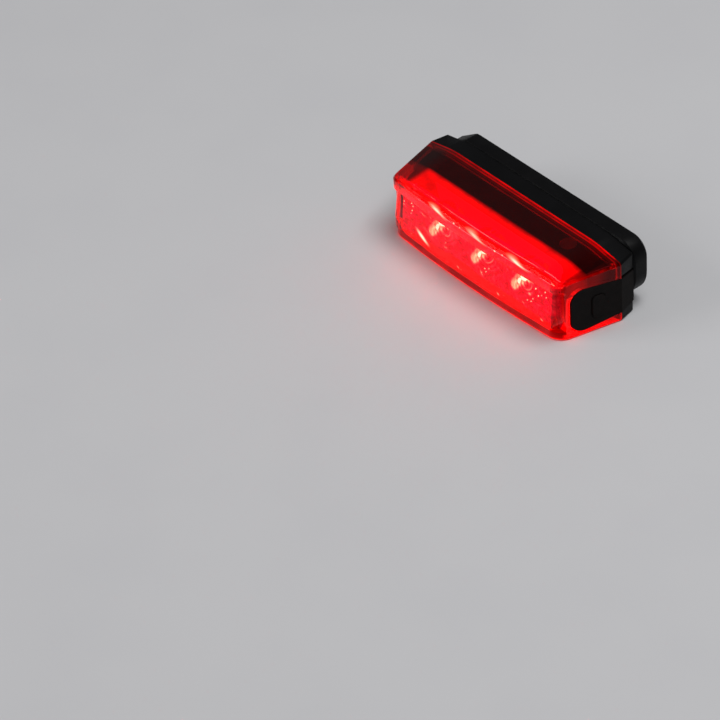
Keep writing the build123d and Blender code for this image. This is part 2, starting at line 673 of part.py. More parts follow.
def pipe_column(grow=0.0):
    """The upright column of the status window, from just above the LED."""
    return prism_z(Pos(PIPE_X, PIPE_Y) * Circle(PIPE_RADIUS + grow), PIPE_PEG_Z, FAR)


def light_pipe():
    """Round window flush with the chassis's top, with a peg down to the status LED."""
    disc = pipe_column() & (chassis_form() - chassis_form(CHASSIS_WALL))
    peg = Pos(PIPE_X, BOARD_BACK_Y + PIPE_PEG_SET_BACK) * Circle(PIPE_PEG_RADIUS)
    peg = prism_z(peg, PIPE_PEG_Z, END_TOP_HEIGHT)
    return disc + (peg & chassis_form() & pipe_column())


def chassis():
    """Black inner frame: a pocket for the LED board in front, an open tray behind."""
    frame = chassis_form() & slab(CHASSIS_FRONT_Y, CHASSIS_BACK_Y)
    frame -= chassis_form(CHASSIS_WALL) & slab(WEB_BACK_Y, 0)
    frame -= prism_y(led_board_outline(BOARD_CLEARANCE), CHASSIS_FRONT_Y, WEB_FRONT_Y)
    frame -= link_block(BOARD_CLEARANCE)
    frame -= button_window()
    frame -= usb_window(PORT_GAP)
    for x, z in boss_places():
        boss = rod_y(x, z, BOSS_RADIUS, WEB_FRONT_Y, BOSS_END_Y)
        frame += boss & (chassis_form() + slab(CHASSIS_BACK_Y, FAR))
    frame -= pipe_column(PIPE_FIT)
    for x, z in boss_places():
        hole_end = HOUSING_SCREW_BACK_Y - SCREW_LENGTH - SCREW_HOLE_SPARE
        frame -= rod_y(x, z, SCREW_SHANK_RADIUS + SCREW_CLEARANCE, hole_end, FAR)
    for side in (1, -1):
        frame -= rod_y(side * BOARD_SCREW_X, BOARD_SCREW_Z, BOARD_SCREW_RADIUS, WEB_FRONT_Y, FAR)
    return frame


def main_board():
    """Main board, with notches round the four bosses."""
    height = MAIN_BOARD_TOP - MAIN_BOARD_BOTTOM
    outline = Pos(0, (MAIN_BOARD_TOP + MAIN_BOARD_BOTTOM) / 2) * RectangleRounded(
        2 * MAIN_BOARD_HALF_LENGTH, height, BOARD_CORNER_RADIUS
    )
    board = prism_y(outline, WEB_BACK_Y, BOARD_BACK_Y)
    for x, z in boss_places():
        board -= rod_y(x, z, BOSS_RADIUS + BOARD_CLEARANCE, WEB_BACK_Y, BOARD_BACK_Y)
    for side in (1, -1):
        board -= rod_y(side * BOARD_SCREW_X, BOARD_SCREW_Z, BOARD_SCREW_RADIUS, WEB_BACK_Y, BOARD_BACK_Y)
    return board


def chip(x, z, width, height, thickness):
    """A square-cornered component on the back of the main board."""
    half_x = width / 2
    half_z = height / 2
    return block(x - half_x, x + half_x, BOARD_BACK_Y, BOARD_BACK_Y + thickness, z - half_z, z + half_z)


def inductor():
    """Shielded inductor with its corners rounded."""
    body = chip(INDUCTOR_X, INDUCTOR_Z, INDUCTOR_SIZE, INDUCTOR_SIZE, INDUCTOR_THICKNESS)
    return fillet(body.edges().filter_by(Axis.Y), INDUCTOR_CORNER_RADIUS)


def usb_shell():
    """Steel shell of the charging socket, open at its mouth."""
    tube = usb_window(0, USB_MOUTH_X + USB_LENGTH) & block(USB_MOUTH_X, 0, -FAR, FAR, -FAR, FAR)
    bore = usb_window(-USB_WALL, USB_MOUTH_X + USB_LENGTH - USB_WALL)
    return tube - bore


def usb_tongue():
    """Contact tongue inside the socket, standing on the shell's back wall."""
    root = USB_MOUTH_X + USB_LENGTH - USB_WALL
    half = USB_TONGUE_THICKNESS / 2
    half_width = USB_TONGUE_WIDTH / 2
    tip = USB_MOUTH_X + USB_TONGUE_SET_BACK
    low = TONGUE_MIDDLE_Z - half_width
    return block(tip, root, USB_Y - half, USB_Y + half, low, low + USB_TONGUE_WIDTH)


def battery():
    """Lithium pouch cell with soft edges."""
    half = BATTERY_HALF_LENGTH
    cell = block(-half, half, BATTERY_FRONT_Y, BATTERY_BACK_Y, BATTERY_BOTTOM, BATTERY_TOP)
    return fillet(cell.edges().filter_by(Axis.X), BATTERY_EDGE_RADIUS)


def battery_lead(z):
    """One lead: out of the cell's end, round a bend, and down to its pad on the board."""
    start = -BATTERY_HALF_LENGTH
    turn = start - LEAD_REACH
    route = FilletPolyline(
        (start, LEAD_Y, z), (turn, LEAD_Y, z), (turn, BOARD_BACK_Y, z), radius=LEAD_BEND_RADIUS
    )
    section = Plane(origin=(start, LEAD_Y, z), z_dir=(-1, 0, 0)) * Circle(LEAD_DIAMETER / 2)
    return sweep(section, path=route)


def battery_pad():
    """Foam that holds the cell against the board's side of the tray."""
    half = BATTERY_HALF_LENGTH - FOAM_MARGIN
    low = (BATTERY_TOP + BATTERY_BOTTOM - FOAM_HEIGHT) / 2
    return block(-half, half, BATTERY_BACK_Y, HOUSING_FLOOR_Y, low, low + FOAM_HEIGHT)


def housing_lip():
    """Lip on the housing's front that centres it inside the lens's rib."""
    outer = SEAM_RIB_RISE + LIP_GAP
    ring = envelope(ends_plan(END_WALL + outer), TOP_WALL + outer, BASE_WALL + outer)
    hollow = envelope(ends_plan(END_WALL + LIP_INSET), TOP_WALL + LIP_INSET, BASE_WALL + LIP_INSET)
    web = envelope(ends_plan(END_WALL / 2), TOP_WALL / 2, BASE_WALL / 2)
    ring -= hollow
    web -= hollow
    return (ring & slab(-LIP_DEPTH, 0)) + (web & slab(0, LIP_THICKNESS))


def rear_housing():
    """Black housing: a shallow tray with screw bosses, and an arm up each end of the lens."""
    tray = outer_housing()
    tray -= envelope(ends_plan(END_WALL), TOP_WALL, BASE_WALL) & slab(0, HOUSING_FLOOR_Y)
    tray += housing_lip()
    for side in (1, -1):
        tray -= tongue_layer(side, -END_WALL, TONGUE_SKIN, TONGUE_GAP)
        tray -= tongue_layer(side, -END_WALL, TONGUE_SKIN, NAIL_GROOVE) & slab(0, FAR, 0)
        tray += tongue_layer(side, TONGUE_SKIN, TONGUE_SKIN + ARM_THICKNESS, back=ARM_ROOT)
    for x, z in boss_places():
        head_y = HOUSING_SCREW_BACK_Y - SCREW_HEAD_THICKNESS
        tray += rod_y(x, z, BOSS_RADIUS, BOSS_END_Y, HOUSING_DEPTH)
        tray -= rod_y(x, z, SCREW_SHANK_RADIUS + SCREW_CLEARANCE, 0, FAR)
        tray -= rod_y(x, z, SCREW_HEAD_RADIUS + SCREW_HEAD_CLEARANCE, head_y, FAR)
    for side in (1, -1):
        x = side * MOUNT_SCREW_X
        tray += rod_y(x, MOUNT_SCREW_Z, MOUNT_BOSS_RADIUS, MOUNT_BOSS_END_Y, HOUSING_DEPTH)
        tray -= rod_y(x, MOUNT_SCREW_Z, MOUNT_SHANK_RADIUS + SCREW_CLEARANCE, MOUNT_HOLE_END_Y, FAR)
    tray -= prism_x(pad_outline(BUTTON_GAP), FRONT_HALF_LENGTH / 2, FAR)
    tray -= usb_window(PORT_GAP)
    return tray


def screw(x, z, head_back_y, length, shank, head, thickness):
    """A cheese-head screw along y, driven from behind."""
    body = rod_y(x, z, shank, head_back_y - length, head_back_y - thickness)
    return body + rod_y(x, z, head, head_back_y - thickness, head_back_y)


def housing_screws():
    """Four screws from the housing into the chassis."""
    size = (SCREW_LENGTH, SCREW_SHANK_RADIUS, SCREW_HEAD_RADIUS, SCREW_HEAD_THICKNESS)
    return [screw(x, z, HOUSING_SCREW_BACK_Y, *size) for x, z in boss_places()]


def board_screws():
    """Two small screws that hold the main board to the chassis."""
    back_y = BOARD_BACK_Y + BOARD_SCREW_HEAD_THICKNESS
    shank = BOARD_SCREW_RADIUS - SCREW_CLEARANCE
    size = (BOARD_SCREW_LENGTH, shank, BOARD_SCREW_HEAD_RADIUS, BOARD_SCREW_HEAD_THICKNESS)
    return [screw(side * BOARD_SCREW_X, BOARD_SCREW_Z, back_y, *size) for side in (1, -1)]


def mount_screws():
    """Two screws that hold the mount plate to the housing."""
    size = (MOUNT_SCREW_LENGTH, MOUNT_SHANK_RADIUS, MOUNT_HEAD_RADIUS, MOUNT_HEAD_THICKNESS)
    return [screw(side * MOUNT_SCREW_X, MOUNT_SCREW_Z, MOUNT_SCREW_BACK_Y, *size) for side in (1, -1)]


def tongue_skin(side, back=HOUSING_DEPTH):
    """Rubber skin over one arm, set in the lens and a little proud of it."""
    return tongue_layer(side, -TONGUE_PROUD, TONGUE_SKIN, back=back)


def button_boot():
    """Fixed rubber skin on the right end, with the opening for the pad."""
    return tongue_skin(1) - prism_x(pad_outline(BUTTON_GAP), FRONT_HALF_LENGTH / 2, FAR)


def power_button():
    """Rubber pad, with a flange behind the arm and a nib that meets the switch."""
    seat = TONGUE_SKIN + ARM_THICKNESS + FLANGE_GAP
    behind_arm = prism_z(ends_plan(seat), -FAR, FAR)
    behind_flange = prism_z(ends_plan(seat + FLANGE_THICKNESS), -FAR, FAR)
    flange = prism_x(pad_outline(FLANGE_OVERHANG), PLUNGER_TIP_X - BUTTON_TRAVEL - FLANGE_ROOM, FAR)
    pad = prism_x(pad_outline(), PLUNGER_TIP_X, FAR)
    pad &= prism_z(ends_plan(-PAD_PROUD), -BASE_DEPTH, TOP_HEIGHT)
    nib = block(
        PLUNGER_TIP_X,
        end_x(SWITCH_Y, seat + FLANGE_THICKNESS / 2),
        SWITCH_Y - NIB_DEPTH / 2,
        SWITCH_Y + NIB_DEPTH / 2,
        PAD_Z - NIB_HEIGHT / 2,
        PAD_Z + NIB_HEIGHT / 2,
    )
    return (pad - behind_arm) + (flange & (behind_arm - behind_flange)) + nib


def plunger_block(low, high, grow=0.0):
    """The plunger's form between two x, or the room round it."""
    half_y = PLUNGER_WIDTH / 2 + grow
    half_z = PLUNGER_HEIGHT / 2 + grow
    return block(low, high, SWITCH_Y - half_y, SWITCH_Y + half_y, PAD_Z - half_z, PAD_Z + half_z)


def switch_body():
    """Side-push switch on the edge of the main board, with the plunger's hole."""
    start = SWITCH_END_X - SWITCH_LENGTH
    back = BOARD_BACK_Y + SWITCH_DEPTH
    low = PAD_Z - SWITCH_HEIGHT / 2
    body = block(start, SWITCH_END_X, BOARD_BACK_Y, back, low, low + SWITCH_HEIGHT)
    hole_end = PLUNGER_TIP_X - PLUNGER_LENGTH - BUTTON_TRAVEL - PLUNGER_SPARE
    return body - plunger_block(hole_end, SWITCH_END_X, PLUNGER_GAP)


def switch_plunger():
    """Plunger that the button's nib pushes."""
    return plunger_block(PLUNGER_TIP_X - PLUNGER_LENGTH, PLUNGER_TIP_X)


def port_flap():
    """Rubber flap on the left end, with a plug that fills the socket's window."""
    skin = tongue_skin(-1, BEND_LINE_Y)
    plug = usb_window(PORT_GAP - PLUG_GAP) & tongue_layer(-1, TONGUE_SKIN, TONGUE_SKIN + PLUG_DEPTH)
    return skin + plug


def flap_anchor():
    """Fixed root of the flap, in the housing's end behind the bend line."""
    return tongue_skin(-1) & slab(BEND_LINE_Y + BEND_GAP, FAR)


def plate_outline():
    """Outline of the mount plate: large corners below, one round and one slanted above."""
    face = polygon(
        (-PLATE_HALF_LENGTH, PLATE_BOTTOM),
        (PLATE_HALF_LENGTH, PLATE_BOTTOM),
        (PLATE_HALF_LENGTH, PLATE_TOP),
        (PLATE_SHOULDER_LENGTH - PLATE_HALF_LENGTH, PLATE_TOP),
        (-PLATE_HALF_LENGTH, PLATE_TOP - PLATE_SHOULDER_DROP),
    )
    face = fillet(face.vertices().group_by(Axis.Y)[0], PLATE_BOTTOM_RADIUS)
    face = fillet(face.vertices().group_by(Axis.Y)[-1].sort_by(Axis.X)[-1], PLATE_TOP_RADIUS)
    face = fillet(face.vertices().group_by(Axis.Y)[-1].sort_by(Axis.X)[0], PLATE_SHOULDER_RADIUS)
    return fillet(face.vertices().group_by(Axis.X)[0].sort_by(Axis.Y)[-1], PLATE_SHOULDER_RADIUS)


def saddle_base(grow=0.0):
    """Back view of the saddle pad's foot."""
    return Pos(0, (SADDLE_TOP + SADDLE_BOTTOM) / 2) * RectangleRounded(
        2 * (SADDLE_HALF_LENGTH + grow), SADDLE_TOP - SADDLE_BOTTOM + 2 * grow, SADDLE_CORNER_RADIUS + grow
    )


def strap_hook(side):
    """Hook for a rubber strap, open towards the plate's end."""
    stem_back = PLATE_BACK_Y + HOOK_GAP + HOOK_LIP
    x_out = HOOK_X + HOOK_STEM + HOOK_MOUTH
    profile = polygon(
        (HOOK_X, PLATE_BACK_Y - HOOK_ROOT),
        (HOOK_X, stem_back),
        (x_out, stem_back),
        (x_out, PLATE_BACK_Y + HOOK_GAP),
        (HOOK_X + HOOK_STEM, PLATE_BACK_Y + HOOK_GAP),
        (HOOK_X + HOOK_STEM, PLATE_BACK_Y - HOOK_ROOT),
    )
    profile = fillet(profile.vertices().group_by(Axis.Y)[-1], HOOK_RADIUS)
    hook = prism_z(profile, HOOK_BOTTOM, HOOK_TOP)
    return hook if side > 0 else mirror(hook, about=Plane.YZ)


def mount_plate():
    """Moulded plate behind the housing, with a pocket for the saddle and two strap hooks."""
    plate = prism_y(plate_outline(), HOUSING_DEPTH, PLATE_BACK_Y)
    plate = chamfer(plate.faces().sort_by(Axis.Y)[-1].edges(), PLATE_BACK_CHAMFER)
    plate = chamfer(plate.faces().sort_by(Axis.Y)[0].edges(), PLATE_FRONT_CHAMFER)
    plate -= prism_y(saddle_base(SADDLE_FIT), PLATE_BACK_Y - SADDLE_POCKET, FAR)
    for side in (1, -1):
        x = side * MOUNT_SCREW_X
        plate -= rod_y(x, MOUNT_SCREW_Z, MOUNT_SHANK_RADIUS + SCREW_CLEARANCE, 0, FAR)
        seat = MOUNT_SCREW_BACK_Y - MOUNT_HEAD_THICKNESS
        plate -= rod_y(x, MOUNT_SCREW_Z, MOUNT_HEAD_RADIUS + MOUNT_HEAD_CLEARANCE, seat, FAR)
        plate += strap_hook(side)
    return plate


def saddle_pad():
    """Rubber saddle with a hollow that fits a seat post."""
    sides = polygon(
        (-SADDLE_HALF_LENGTH, PLATE_BACK_Y - SADDLE_POCKET),
        (SADDLE_HALF_LENGTH, PLATE_BACK_Y - SADDLE_POCKET),
        (SADDLE_HALF_LENGTH, PLATE_BACK_Y + SADDLE_FLOOR),
        (SADDLE_HORN_X, SADDLE_BACK_Y),
        (-SADDLE_HORN_X, SADDLE_BACK_Y),
        (-SADDLE_HALF_LENGTH, PLATE_BACK_Y + SADDLE_FLOOR),
    )
    pad = prism_z(sides, SADDLE_BOTTOM, SADDLE_TOP)
    pad &= prism_y(saddle_base(), 0, FAR)
    return pad - Pos(0, SADDLE_AXIS_Y, 0) * Cylinder(SADDLE_POST_RADIUS, FAR)


def build():
    """Every piece by its node's name."""
    nodes = {
        "lens_shell": lens_shell(),
        "optic_array": optic_array(),
        "led_board": led_board(),
        "thermal_pad": thermal_pad(),
        "chassis": chassis(),
        "main_board": main_board(),
        "board_link": link_block(),
        "driver_chip": chip(
            DRIVER_CHIP_X, DRIVER_CHIP_Z, DRIVER_CHIP_SIZE, DRIVER_CHIP_SIZE, CHIP_THICKNESS
        ),
        "charge_chip": chip(
            CHARGE_CHIP_X, CHARGE_CHIP_Z, CHARGE_CHIP_SIZE, CHARGE_CHIP_SIZE, CHIP_THICKNESS
        ),
        "inductor": inductor(),
        "status_led": chip(
            PIPE_X, STATUS_LED_Z, STATUS_LED_LENGTH, STATUS_LED_HEIGHT, STATUS_LED_THICKNESS
        ),
        "status_light_pipe": light_pipe(),
        "usb_shell": usb_shell(),
        "usb_tongue": usb_tongue(),
        "switch_body": switch_body(),
        "switch_plunger": switch_plunger(),
        "battery": battery(),
        "battery_pad": battery_pad(),
        "battery_lead_red": battery_lead(LEAD_Z + LEAD_SPACING / 2),
        "battery_lead_black": battery_lead(LEAD_Z - LEAD_SPACING / 2),
        "rear_housing": rear_housing(),
        "housing_screws": housing_screws(),
        "board_screws": board_screws(),
        "power_button": power_button(),
        "button_boot": button_boot(),
        "port_flap": port_flap(),
        "flap_anchor": flap_anchor(),
        "mount_plate": mount_plate(),
        "mount_screws": mount_screws(),
        "saddle_pad": saddle_pad(),
    }
    for place, x in zip(("left", "centre", "right"), LED_CENTRES):
        nodes[f"led_base_{place}"] = led_base(x)
        nodes[f"led_dome_{place}"] = led_dome(x)
    return nodes


def main():
    """Write one STEP file for each piece, set down on the ground plane."""
    os.makedirs("parts", exist_ok=True)
    for name, solid in build().items():
        pieces = solid if isinstance(solid, list) else [solid]
        placed = [SET_DOWN * piece for piece in pieces]
        export_step(placed[0] if len(placed) == 1 else Compound(placed), f"parts/{name}.step")


if __name__ == "__main__":
    main()
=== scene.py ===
"""Bicycle tail light, dressed over its CAD frame.

The light lies on its flat base: x runs along it towards the power button, its red lens faces -y,
its black housing and seat-post mount face +y, and z is up. Lengths in this file are millimetres in
the drawn frame of the CAD source, whose origin is on the seam between lens and housing; the
function `metres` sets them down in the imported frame.
"""

from __future__ import annotations

import json
import logging
import math
from dataclasses import dataclass
from enum import Enum
from typing import Any, Iterable, Mapping, Sequence

import bpy
import bmesh
import numpy as np
from mathutils import Matrix

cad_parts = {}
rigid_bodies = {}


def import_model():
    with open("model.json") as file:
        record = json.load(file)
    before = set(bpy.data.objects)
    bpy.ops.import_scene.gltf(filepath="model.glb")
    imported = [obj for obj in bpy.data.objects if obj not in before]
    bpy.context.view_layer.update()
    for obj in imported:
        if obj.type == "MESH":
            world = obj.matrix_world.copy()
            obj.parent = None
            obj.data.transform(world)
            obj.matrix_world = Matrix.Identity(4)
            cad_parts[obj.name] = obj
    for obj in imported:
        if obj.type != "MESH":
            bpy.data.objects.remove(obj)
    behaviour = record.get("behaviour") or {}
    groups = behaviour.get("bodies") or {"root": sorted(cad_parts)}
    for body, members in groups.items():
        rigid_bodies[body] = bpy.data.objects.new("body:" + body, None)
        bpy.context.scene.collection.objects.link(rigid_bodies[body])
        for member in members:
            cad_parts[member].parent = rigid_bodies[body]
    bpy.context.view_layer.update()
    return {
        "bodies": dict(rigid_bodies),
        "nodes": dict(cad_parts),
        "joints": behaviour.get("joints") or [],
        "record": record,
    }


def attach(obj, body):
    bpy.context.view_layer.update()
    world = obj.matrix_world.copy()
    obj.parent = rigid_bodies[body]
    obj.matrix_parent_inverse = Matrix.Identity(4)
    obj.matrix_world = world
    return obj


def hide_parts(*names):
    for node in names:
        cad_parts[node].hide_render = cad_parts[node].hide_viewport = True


LOG = logging.getLogger("tail_light")
Tree, Socket, Object = bpy.types.NodeTree, bpy.types.NodeSocket, bpy.types.Object
Array = np.ndarray

# The CAD source sets its drawn frame down by this much, in millimetres
DRAWN_ORIGIN = np.array([0.0, 1.0035, 9.8])

# Corners closer than this are one corner, in metres: of a new mesh, and of a CAD mesh
MERGE_DISTANCE = 1e-7
CAD_MERGE_DISTANCE = 2e-6

# Degrees between faces: up to FLAT they are one face, from ROUNDED their edge gets a rounding, and
# from CRISP it is shaded as an edge
FLAT, ROUNDED, CRISP = 0.8, 32.0, 35.0

# Blender's noise mostly lies in the first range, and the second cuts soft clouds out of it
NOISE_RANGE = (0.3, 0.7)
CLOUD_RANGE = (0.38, 0.72)

# A colour ramp: two or more levels with their linear colours, rising
Ramp = tuple[tuple[float, tuple[float, float, float]], ...]


class Body(str, Enum):
    """The bodies that move against each other."""

    LIGHT = "light_body"
    BUTTON = "power_button"
    FLAP = "port_flap"


# Helpers


def metres(points: Array) -> Array:
    """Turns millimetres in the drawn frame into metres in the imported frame.

    Args:
        points: Array whose last axis is x, y, z.

    Returns:
        The same array, moved and scaled.
    """
    return (np.asarray(points, float) + DRAWN_ORIGIN) / 1000.0


def linear(code: str) -> tuple[float, float, float, float]:
    """Turns an sRGB hex colour into linear red, green, blue and alpha.

    Args:
        code: Six hex digits, such as "c80a08".

    Returns:
        Linear colour with an alpha of one.
    """
    parts = [int(code[i : i + 2], 16) / 255.0 for i in (0, 2, 4)]
    flat = [p / 12.92 if p <= 0.04045 else ((p + 0.055) / 1.055) ** 2.4 for p in parts]
    return (flat[0], flat[1], flat[2], 1.0)


def per_metre(millimetres: float) -> float:
    """Noise scale that gives features of a real size in millimetres."""
    return 1000.0 / millimetres


def add_node(
    tree: Tree, kind: str, inputs: Mapping[Any, Any] | None = None, **settings: Any
) -> bpy.types.Node:
    """Adds one node with its settings, its values and its links.

    Args:
        tree: Node tree that gets the node.
        kind: Blender's name of the node type.
        inputs: Socket name or number to a value, or to the output socket to link from.
        **settings: Properties of the node itself.

    Returns:
        The new node.
    """
    node = tree.nodes.new(kind)
    for name, value in settings.items():
        setattr(node, name, value)
    for key, value in (inputs or {}).items():
        if isinstance(value, Socket):
            tree.links.new(value, node.inputs[key])
        else:
            node.inputs[key].default_value = value
    return node


def grid_faces(rows: int, columns: int, wrap: bool = False) -> Array:
    """Quads of a grid of points numbered row by row.

    Args:
        rows: Number of rows of points.
        columns: Number of points in a row.
        wrap: True joins the last column to the first.

    Returns:
        Array of corner numbers, four to a face.
    """
    number = np.arange(rows * columns).reshape(rows, columns)
    after = np.roll(number, -1, axis=1)
    last = columns if wrap else columns - 1
    quads = np.stack([number[:-1], after[:-1], after[1:], number[1:]], axis=-1)
    return quads[:, :last].reshape(-1, 4)


def make_piece(
    name: str,
    points: Array,
    faces: Iterable[Sequence[int]],
    smooth_angle: float = 40.0,
) -> Object:
    """Makes a closed mesh object from points in drawn millimetres.

    Args:
        name: Name of the piece.
        points: Array of corners, x, y, z.
        faces: Corner numbers of each face.
        smooth_angle: Edges sharper than this, in degrees, stay crisp.

    Returns:
        The object, with its faces turned outwards.
    """
    mesh = bpy.data.meshes.new(name)
    mesh.from_pydata(metres(points).tolist(), [], [list(map(int, face)) for face in faces])
    work = bmesh.new()
    work.from_mesh(mesh)
    bmesh.ops.remove_doubles(work, verts=work.verts, dist=MERGE_DISTANCE)
    bmesh.ops.recalc_face_normals(work, faces=work.faces)
    work.to_mesh(mesh)
    work.free()
    piece = bpy.data.objects.new(name, mesh)
    bpy.context.scene.collection.objects.link(piece)
    mesh.shade_smooth()
    mesh.set_sharp_from_angle(angle=math.radians(smooth_angle))
    return piece


def moulded_copy(
    frame: dict[str, Any], node: str, name: str, radius: float, segments: int = 2
) -> Object:
    """Copies a CAD node with its loose triangles merged and its edges rounded.

    Args:
        node: CAD node to copy and stand for.
        name: Name of the new piece.
        radius: Rounding of the edges in millimetres.
        segments: Steps of the rounding.

    Returns:
        The piece, not yet riding.
    """
    mesh = frame["nodes"][node].data.copy()
    mesh.name = name
    work = bmesh.new()
    work.from_mesh(mesh)
    bmesh.ops.remove_doubles(work, verts=work.verts, dist=CAD_MERGE_DISTANCE)
    bmesh.ops.dissolve_limit(
        work, angle_limit=math.radians(FLAT), verts=work.verts, edges=work.edges
    )
    work.to_mesh(mesh)
    work.free()
    mesh.materials.clear()
    piece = bpy.data.objects.new(name, mesh)
    bpy.context.scene.collection.objects.link(piece)
    mesh.shade_smooth()
    mesh.set_sharp_from_angle(angle=math.radians(CRISP))
    bevel = piece.modifiers.new("moulded_edges", "BEVEL")
    bevel.width = radius / 1000.0
    bevel.segments = segments
    bevel.limit_method = "ANGLE"
    bevel.angle_limit = math.radians(ROUNDED)
    bevel.miter_outer = "MITER_ARC"
    bevel.harden_normals = True
    bevel.use_clamp_overlap = True
    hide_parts(node)
    return piece


def finish(
    piece: Object, material: bpy.types.Material, body: Body, words: str
) -> Object:
    """Dresses a new piece, puts it on its body and reports it.

    Args:
        piece: The piece.
        material: Its finish.
        body: Body that it rides on.
        words: What it is.

    Returns:
        The piece.
    """
    piece.data.materials.clear()
    piece.data.materials.append(material)
    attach(piece, body.value)
    LOG.info("%s: %s, %d faces", piece.name, words, len(piece.data.polygons))
    return piece


def dress(frame: dict[str, Any], names: Iterable[str], material: bpy.types.Material) -> None:
    """Gives CAD nodes one finish.

    Args:
        names: The nodes.
        material: Their finish.
    """
    for name in names:
        mesh = frame["nodes"][name].data
        mesh.materials.clear()
        mesh.materials.append(material)
        LOG.info("%s: the CAD's own form in %s", name, material.name)


# Finishes


@dataclass(frozen=True)
class Field:
    """A number that varies over a surface, worked out by shader nodes."""

    tree: Tree
    socket: Socket

    def _math(self, operation: str, other: Field | float | None = None) -> Field:
        """Joins this number with another through one math node.

        Args:
            operation: Blender's name of the operation.
            other: Second number, if the operation takes one.

        Returns:
            The result.
        """
        inputs: dict[Any, Any] = {0: self.socket}
        if other is not None:
            inputs[1] = other.socket if isinstance(other, Field) else other
        node = add_node(self.tree, "ShaderNodeMath", inputs, operation=operation)
        return Field(self.tree, node.outputs[0])

    def __add__(self, other: Field | float) -> Field:
        """Sum."""
        return self._math("ADD", other)

    def __mul__(self, other: Field | float) -> Field:
        """Product."""
        return self._math("MULTIPLY", other)

    def most(self, other: Field | float) -> Field:
        """The larger of the two."""
        return self._math("MAXIMUM", other)

    def sine(self) -> Field:
        """Sine of the number, taken as radians."""
        return self._math("SINE")

    def size(self) -> Field:
        """The number without its sign."""
        return self._math("ABSOLUTE")

    def rise(self, start: float, end: float, low: float = 0.0, high: float = 1.0) -> Field:
        """Smooth step from one level to another.

        Args:
            start: Where it leaves the low level.
            end: Where it reaches the high level; it may lie before the start.
            low: Low level.
            high: High level.

        Returns:
            The step.
        """
        inputs = {
            "Value": self.socket, "From Min": start, "From Max": end, "To Min": low, "To Max": high,
        }
        node = add_node(self.tree, "ShaderNodeMapRange", inputs, interpolation_type="SMOOTHSTEP")
        return Field(self.tree, node.outputs[0])


def noise(tree: Tree, place: Socket, size: float, detail: float = 3.0) -> Field:
    """Soft noise from 0 to 1.

    Args:
        tree: Tree that gets the node.
        place: Coordinates in metres.
        size: Size of its features in millimetres.
        detail: Steps of finer noise on it.

    Returns:
        The noise.
    """
    inputs = {"Vector": place, "Scale": per_metre(size), "Detail": detail}
    return Field(tree, add_node(tree, "ShaderNodeTexNoise", inputs).outputs[0])


def colour_ramp(tree: Tree, level: Socket, stops: Ramp) -> Socket:
    """Turns a level into a colour.

    Args:
        tree: Tree that gets the node.
        level: Level from 0 to 1.
        stops: Levels with their linear colours, two or more, rising.

    Returns:
        The colour.
    """
    node = add_node(tree, "ShaderNodeValToRGB", {0: level})
    made = node.color_ramp.elements
    for i, (position, colour) in enumerate(stops):
        stop = made[i] if i < 2 else made.new(position)
        stop.position, stop.color = position, (*colour, 1.0)
    return node.outputs[0]


@dataclass(frozen=True)
class Finish:
    """A finish with two tones, a grain and a roughness that both vary.

    Attributes:
        name: Material and making, in plain words.
        colour: Main tone.
        pale: Second tone, in soft clouds.
        cloud: Size of the clouds in millimetres.
        share: Most that the second tone covers.
        grain: Size of the grain in millimetres.
        depth: Height of the grain in millimetres.
        roughness: Middle roughness.
        spread: How far the roughness goes either way.
        metallic: One for metals.
        sheen: Soft edge light of rubber and foam.
        specular: Strength of the plain reflection.
        stretch: Grain's stretch along x, y and z.
        bump: Share of the grain's height that the shading shows.
    """

    name: str
    colour: str
    pale: str
    cloud: float = 8.0
    share: float = 0.35
    grain: float = 0.35
    depth: float = 0.006
    roughness: float = 0.5
    spread: float = 0.07
    metallic: float = 0.0
    sheen: float = 0.0
    specular: float = 0.5
    stretch: tuple[float, float, float] = (1.0, 1.0, 1.0)
    bump: float = 0.6

    def height(self, tree: Tree, place: Socket) -> Field:
        """Relief of the surface, from 0 to 1; plain fine noise unless a finish has its own."""
        return noise(tree, place, self.grain)

    def tone(self, tree: Tree, place: Socket) -> Field:
        """Where the second tone lies, from 0 to 1; soft clouds unless a finish has its own."""
        return noise(tree, place, self.cloud, detail=4.0).rise(*CLOUD_RANGE, 0.0, self.share)

    def extras(self, tree: Tree, place: Socket) -> dict[str, Any]:
        """Further inputs of the shader, for a finish of its own kind."""
        return {}

    def build(self) -> bpy.types.Material:
        """Builds the material.

        Returns:
            The material.
        """
        material = bpy.data.materials.new(self.name)
        material.use_nodes = True
        tree = material.node_tree
        tree.nodes.clear()
        where = add_node(tree, "ShaderNodeTexCoord").outputs["Object"]
        stretched = add_node(tree, "ShaderNodeMapping", {"Vector": where, "Scale": self.stretch})
        place = stretched.outputs[0]
        height, tone = self.height(tree, place), self.tone(tree, place)
        tones = {0: tone.socket, 6: linear(self.colour), 7: linear(self.pale)}
        colour = add_node(tree, "ShaderNodeMix", tones, data_type="RGBA")
        rough = height.rise(
            *NOISE_RANGE, self.roughness - self.spread, self.roughness + self.spread
        )
        grain = {"Height": height.socket, "Strength": self.bump, "Distance": self.depth / 1000.0}
        looks = {
            "Base Color": colour.outputs[2],
            "Roughness": rough.socket,
            "Normal": add_node(tree, "ShaderNodeBump", grain).outputs[0],
            "Metallic": self.metallic,
            "Specular IOR Level": self.specular,
            "Sheen Weight": self.sheen,
        }
        looks.update(self.extras(tree, where))
        shader = add_node(tree, "ShaderNodeBsdfPrincipled", looks)
        add_node(tree, "ShaderNodeOutputMaterial", {"Surface": shader.outputs[0]})
        return material


